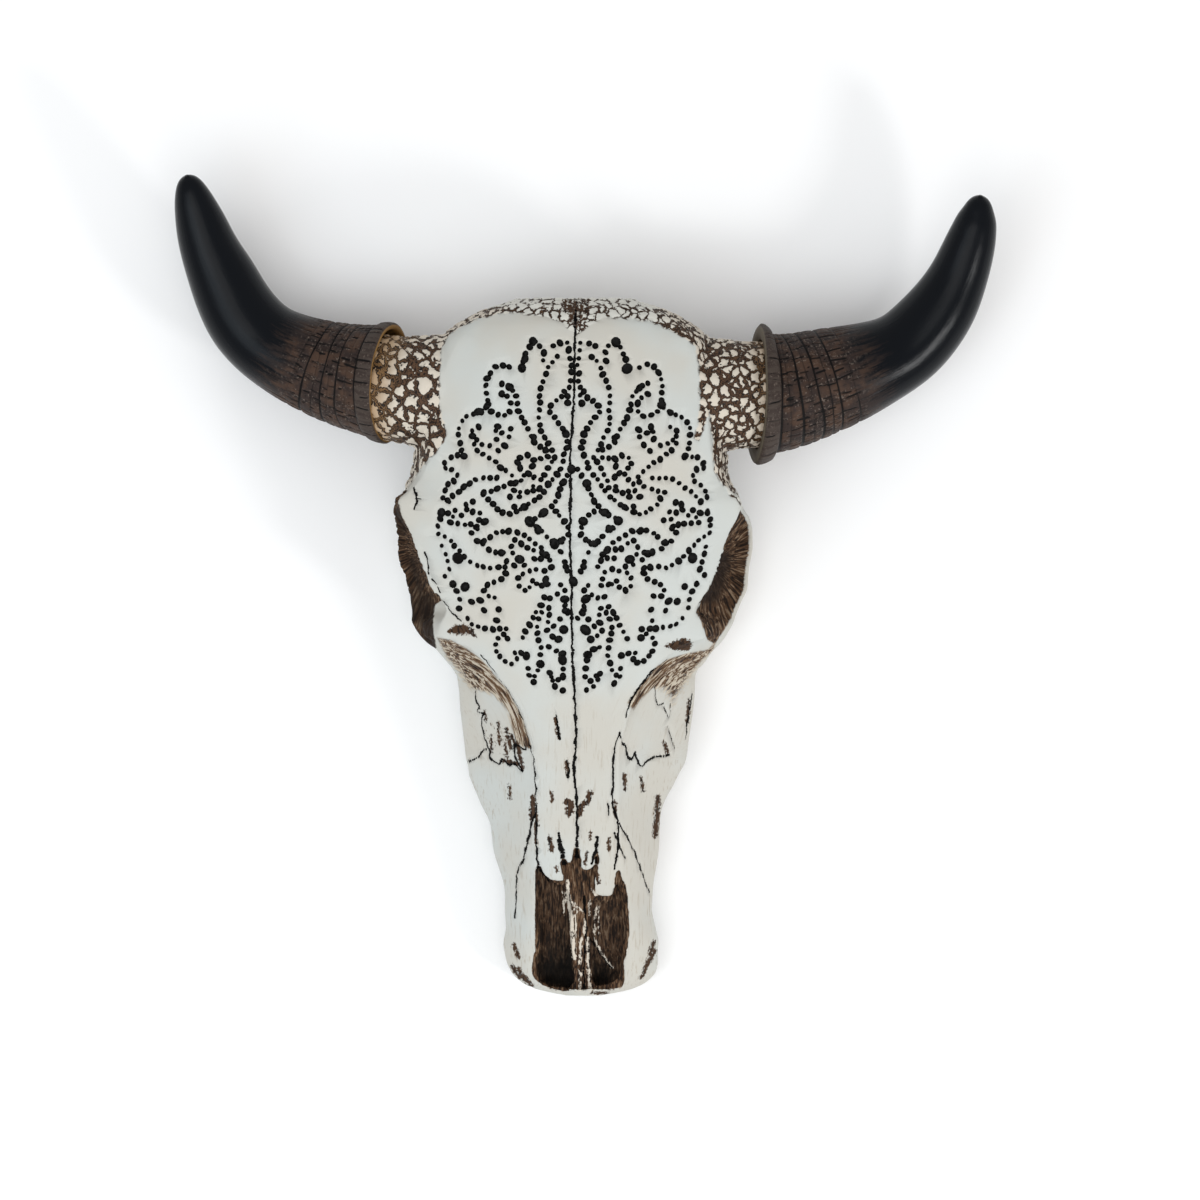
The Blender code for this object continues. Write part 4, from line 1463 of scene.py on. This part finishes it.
# %% Build the horns
def make_horn(axis, girth, side, seed):
    """Hollow horn: up its bore, over its collar and along the outside to the blunt tip."""
    chance = np.random.default_rng(seed)
    turns = np.linspace(0, 2 * math.pi, HORN_TURNS, endpoint=False)
    outer_s = outer_places(axis.length)
    outer = outer_radius(girth, axis.length, outer_s)
    relief, dips = horn_relief(outer_s, turns, outer, RINGS[side], chance)
    bumps = sunk_bumps(outer_s, turns, chance)
    shape = outer[:, None] - relief * GROOVE_DEPTH - dips * DIP_DEPTH - bumps
    bore = along(BORE_RADIUS, np.array(BORE_PLACES))
    rim = [along(BORE_RADIUS, 0.0) + 0.6, girth[0][1] - 0.4]
    inner = np.repeat(np.concatenate([bore, rim])[:, None], HORN_TURNS, axis=1)
    s = np.concatenate([BORE_PLACES, RIM_PLACES, outer_s])
    rings = axis.rings(s, np.vstack([inner, shape]), turns)
    item = skin(set_mouth(rings, s, turns, side, chance), f"horn_{side}_visual")
    mark_horn(item, s, turns, relief, side)
    return item


horn_left = make_horn(left_axis, LEFT_GIRTH, "left", seed=4)
horn_right = make_horn(right_axis, RIGHT_GIRTH, "right", seed=11)
print("horns:", len(horn_left.data.polygons), len(horn_right.data.polygons), "faces")

# %% [markdown]
# ## Paint
# The casting is whitewashed, then a dark brown wash is rubbed in and wiped off. It stays in the
# grooves and hollows. So every colour below follows a distance or a depth of the form.

# %% Colours
def colour(red, green, blue):
    """Linear colour of screen values from 0 to 255."""
    return tuple((part / 255) ** 2.2 for part in (red, green, blue)) + (1.0,)


WHITE_COOL = colour(188, 191, 187)
WHITE_WARM = colour(187, 184, 175)
CREAM = colour(200, 191, 177)
TAN = colour(150, 116, 74)
BROWN = colour(86, 64, 47)
DARK = colour(33, 25, 20)
BLACK = colour(16, 15, 13)
STREAK = colour(156, 135, 112)
HAIR = colour(184, 174, 157)
GOLD = colour(104, 82, 60)
WORN = colour(146, 130, 108)
POLL_WHITE = colour(204, 203, 195)


def new_material(name):
    """Material with an empty node tree but for its shader."""
    material = bpy.data.materials.get(name) or bpy.data.materials.new(name)
    material.use_nodes = True
    nodes = Nodes(material.node_tree)
    return nodes, material.node_tree.nodes["Principled BSDF"]


def stored(nodes, name, output="Fac"):
    return nodes.add("ShaderNodeAttribute", {"attribute_name": name}, {}, output)


print("colours ready")

# %% Whitewash and net
nodes, shader = new_material("bone")
place = nodes.add("ShaderNodeTexCoord", {}, {}, "Object")
grain = stored(nodes, "grain", "Vector")
wash = nodes.noise(place, 60.0, detail=3.0)
fine = nodes.noise(place, 4.0, detail=4.0, roughness=0.7)
paint = nodes.blend(wash.step(0.35, 0.65), WHITE_COOL, WHITE_WARM)

# Net round the cores and over the poll
edge = nodes.noise(place, 5.0, detail=2.0) * 4.0 - 2.0
net = (stored(nodes, "net") + edge).step(-0.8, 0.6)
gap = net_gap(nodes, place)
collar = stored(nodes, "collar").step(24.0, 4.0)
poll = (stored(nodes, "collar") - 60.0).step(0.0, 20.0)
island = nodes.blend(collar * 0.75, nodes.blend(poll, CREAM, POLL_WHITE), TAN)
strand = nodes.blend((gap + (fine - 0.5) * 1.2).step(0.1, 0.35), DARK, nodes.blend(collar * 0.5, BROWN, TAN))
strand = nodes.blend((gap + (fine - 0.5) * 1.6 + poll * 0.2).step(0.5, 0.85), strand, DARK)
lace = nodes.blend((gap + poll * 0.5 + (fine - 0.5) * 2.6).step(1.1, 1.45), strand, island)
paint = nodes.blend(net, paint, lace)
print("whitewash and net:", len(nodes.tree.nodes), "nodes")

# %% [markdown]
# The brown of the hollows is a grain of streaks with a ragged edge. Each streak shifts the edge
# of its region a little, so the paint ends in tongues and not in a line. The cheeks get light
# hair lines, and the nose darkens with its depth as painted shade, to black in its deep lobes.

# %% Streaked hollows: sockets, cheeks and nose
streaks = grain_lines(nodes, grain, 1.1)
worn = stored(nodes, "weather") * streaks.step(0.55, 0.7) * 0.5
paint = nodes.blend(worn, paint, WORN)
ragged = (streaks - 0.5) * 9.0
socket = (stored(nodes, "socket") + ragged * 0.3).step(-0.3, 0.7)
cheek_depth = stored(nodes, "cheek")
fringe = stored(nodes, "fringe")
cheek = (cheek_depth + ragged * (fringe * 0.08 + 0.15)).step(-0.4, fringe * 0.15 + 0.8)
nose = (stored(nodes, "nose") + ragged * 0.08).step(-0.1, 0.5)
speck = nodes.noise(place, 1.8, detail=3.0, roughness=0.65) - 0.5
stain = (stored(nodes, "stain") + ragged * 0.3 + speck * 5.0).step(-0.8, 0.1)
hollow = socket.most(nose).most(stain)
hair = nodes.blend(streaks.step(0.36, 0.43), DARK, BROWN)
hair = nodes.blend(streaks.step(0.44, 0.5), hair, GOLD)
hair = nodes.blend((streaks + fringe * 0.004).step(0.52, 0.6), hair, HAIR)
paint = nodes.blend(cheek, paint, hair)
wood = nodes.blend(streaks.step(0.42, 0.53), DARK, BROWN)
light_share = (1.0 - nose * 0.6) * (1.0 - stain) * (1.0 - socket * 0.35)
wood = nodes.blend(streaks.step(0.56, 0.62) * light_share, wood, STREAK)
wood = nodes.blend(stain.most(socket * 0.5) * 0.45, wood, DARK)
# Painted shade: the nose recess darkens with its depth under the face
wood = nodes.blend(stored(nodes, "below").step(4.0, 13.0) * nose * 0.5, wood, DARK)
shade = (stored(nodes, "shade") + ragged * 0.8).step(-3.0, 4.0) * socket
wood = nodes.blend(shade * 0.85, wood, DARK)
# Painted shade: near black deep in the nose lobes
deep_nose_shade = stored(nodes, "below").step(15.0, 20.0) * nose
wood = nodes.blend(deep_nose_shade * 0.9, wood, BLACK)
paint = nodes.blend(hollow, paint, wood)
scrape = (stored(nodes, "scrape") + ragged * 0.4 + speck * 2.5).step(-0.1, 0.5)
paint = nodes.blend(scrape, paint, CREAM)
print("with the hollows:", len(nodes.tree.nodes), "nodes")

# %% Dots, seam and cracks, and the surface
cut = stored(nodes, "cut").step(0.08, 0.5)
paint = nodes.blend(cut, paint, BLACK)
nodes.fill(shader.inputs["Base Color"], paint)
nodes.fill(shader.inputs["Roughness"], 0.62 + hollow * 0.25)
shader.inputs["Specular IOR Level"].default_value = 0.2
tiny = nodes.noise(place, 1.2, detail=3.0)
bump = nodes.add("ShaderNodeBump", {}, {"Strength": 0.25, "Distance": 0.3 * MM, "Height": tiny})
nodes.fill(shader.inputs["Normal"], bump)
print("bone paint:", len(nodes.tree.nodes), "nodes")

# %% Horn paint
HORN_BLACK = colour(11, 15, 20)
HORN_BROWN = colour(50, 41, 38)
HORN_RED = colour(70, 54, 45)
COLLAR = colour(68, 60, 55)
GILT_RIM = colour(138, 106, 64)
PLAIN_RIM = colour(96, 88, 76)
SPLIT = colour(17, 14, 13)
# Pale colour of the painted highlights on the fibre ridges
RIDGE_HIGHLIGHT = colour(118, 106, 97)
nodes, shader = new_material("horn")
reach = stored(nodes, "reach")
fibre = stored(nodes, "fibre", "Vector")
place = nodes.add("ShaderNodeTexCoord", {}, {}, "Object")
patch = nodes.noise(place, 9.0, detail=3.0)
lines = nodes.noise(fibre, 2.2, detail=4.0, roughness=0.7)
brown = nodes.blend(patch.step(0.4, 0.65), HORN_BROWN, HORN_RED)
brown = nodes.blend(lines.step(0.48, 0.64) * 0.6, brown, SPLIT)
# Painted highlights: pale flecks on the raised fibre lines of the bump, on the brown and on the collar band
ridge_highlights = nodes.noise(place, 1.6, detail=3.0, roughness=0.7).step(0.54, 0.64) * lines.step(0.45, 0.55)
brown = nodes.blend(ridge_highlights * 0.6, brown, RIDGE_HIGHLIGHT)
band = nodes.blend(lines.step(0.42, 0.58) * 0.7, COLLAR, HORN_BROWN)
band = nodes.blend(ridge_highlights * 0.4, band, RIDGE_HIGHLIGHT)
brown = nodes.blend(reach.step(9.5, 7.5), brown, band)
fade = (reach + (lines - 0.5) * 60.0).step(46.0, 80.0)
paint = nodes.blend(fade, brown, HORN_BLACK)
paint = nodes.blend(stored(nodes, "groove").step(0.12, 0.5), paint, SPLIT)
rim = nodes.blend(stored(nodes, "gilt"), PLAIN_RIM, GILT_RIM)
paint = nodes.blend(reach.step(0.5, -0.5), paint, rim)
nodes.fill(shader.inputs["Base Color"], paint)
nodes.fill(shader.inputs["Roughness"], 0.55 - fade * 0.32)
shader.inputs["Specular IOR Level"].default_value = 0.12
bump = nodes.add("ShaderNodeBump", {}, {"Strength": 0.3, "Distance": 0.4 * MM, "Height": lines})
nodes.fill(shader.inputs["Normal"], bump)
horn = bpy.data.materials["horn"]
for item in (horn_left, horn_right):
    item.data.materials.append(horn)
print("horn paint:", len(nodes.tree.nodes), "nodes")

# %% Hand the pieces over
mark_skull(skull)
skull.data.materials.clear()
skull.data.materials.append(bpy.data.materials["bone"])
skull.data.polygons.foreach_set("material_index", np.zeros(len(skull.data.polygons), dtype=np.int32))
for piece, node, slot in ((skull, "skull", "bone"), (horn_left, "horn_left", "horn"),
                          (horn_right, "horn_right", "horn")):
    piece.data.shade_smooth()
    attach(piece, "root")
    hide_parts(node)
    piece.data.calc_loop_triangles()
    print(piece.name, len(piece.data.loop_triangles), "triangles")

# %% [markdown]
# ## Table, light and camera
# The picture is a product shot straight from above on white, so a pale table, wide soft light
# and a long lens are enough.

# %% Table
floor_data = bpy.data.meshes.new("table")
floor_data.from_pydata([(-3, -3, 0), (3, -3, 0), (3, 3, 0), (-3, 3, 0)], [], [(0, 1, 2, 3)])
floor = bpy.data.objects.new("table", floor_data)
scene.collection.objects.link(floor)
floor_data.materials.append(bpy.data.materials.new("table"))
floor_data.materials[0].use_nodes = True
table_shader = floor_data.materials[0].node_tree.nodes["Principled BSDF"]
table_shader.inputs["Base Color"].default_value = (0.92, 0.92, 0.92, 1)
table_shader.inputs["Roughness"].default_value = 0.9
table_shader.inputs["Specular IOR Level"].default_value = 0.0
print("table:", len(floor_data.polygons), "face")

# %% Lights
world = bpy.data.worlds.new("room")
scene.world = world
world.use_nodes = True
world.node_tree.nodes["Background"].inputs["Color"].default_value = (1, 1, 1, 1)
world.node_tree.nodes["Background"].inputs["Strength"].default_value = 0.75


def soft_light(name, place, aim, size, power, tint=(1, 1, 1)):
    """Square lamp that shines from a place towards another."""
    data = bpy.data.lights.new(name, "AREA")
    data.size = size
    data.energy = power
    data.color = tint
    lamp = bpy.data.objects.new(name, data)
    lamp.location = place
    lamp.rotation_euler = (Vector(aim) - Vector(place)).to_track_quat("-Z", "Y").to_euler()
    scene.collection.objects.link(lamp)


soft_light("overhead", (-0.2, -0.5, 2.0), (0, 0, 0), 1.4, 11)
soft_light("left_window", (-1.1, -0.6, 1.6), (-0.2, 0.1, 0), 1.1, 8, (0.8, 0.91, 1.0))
soft_light("right_window", (1.3, -0.9, 1.1), (0.2, 0.1, 0), 0.3, 9)

# %% Camera
FRAME_WIDTH = 1200 * PIXEL * MM
HEIGHT = 8.0      # metres above the table
FACE_Z = 0.035    # height at which the picture's scale holds
SENSOR = 36
camera_data = bpy.data.cameras.new("camera")
camera = bpy.data.objects.new("camera", camera_data)
scene.collection.objects.link(camera)
camera.location = ((600 - ORIGIN_PIXEL[0]) * PIXEL * MM, (ORIGIN_PIXEL[1] - 600) * PIXEL * MM, HEIGHT)
camera_data.sensor_width = SENSOR
camera_data.lens = SENSOR * (HEIGHT - FACE_Z) / FRAME_WIDTH
camera_data.clip_end = 20
scene.camera = camera
scene.view_settings.view_transform = "Standard"
print("lens:", round(camera_data.lens, 1), "mm")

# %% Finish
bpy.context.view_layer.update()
print("seconds:", round(time.time() - started, 1))
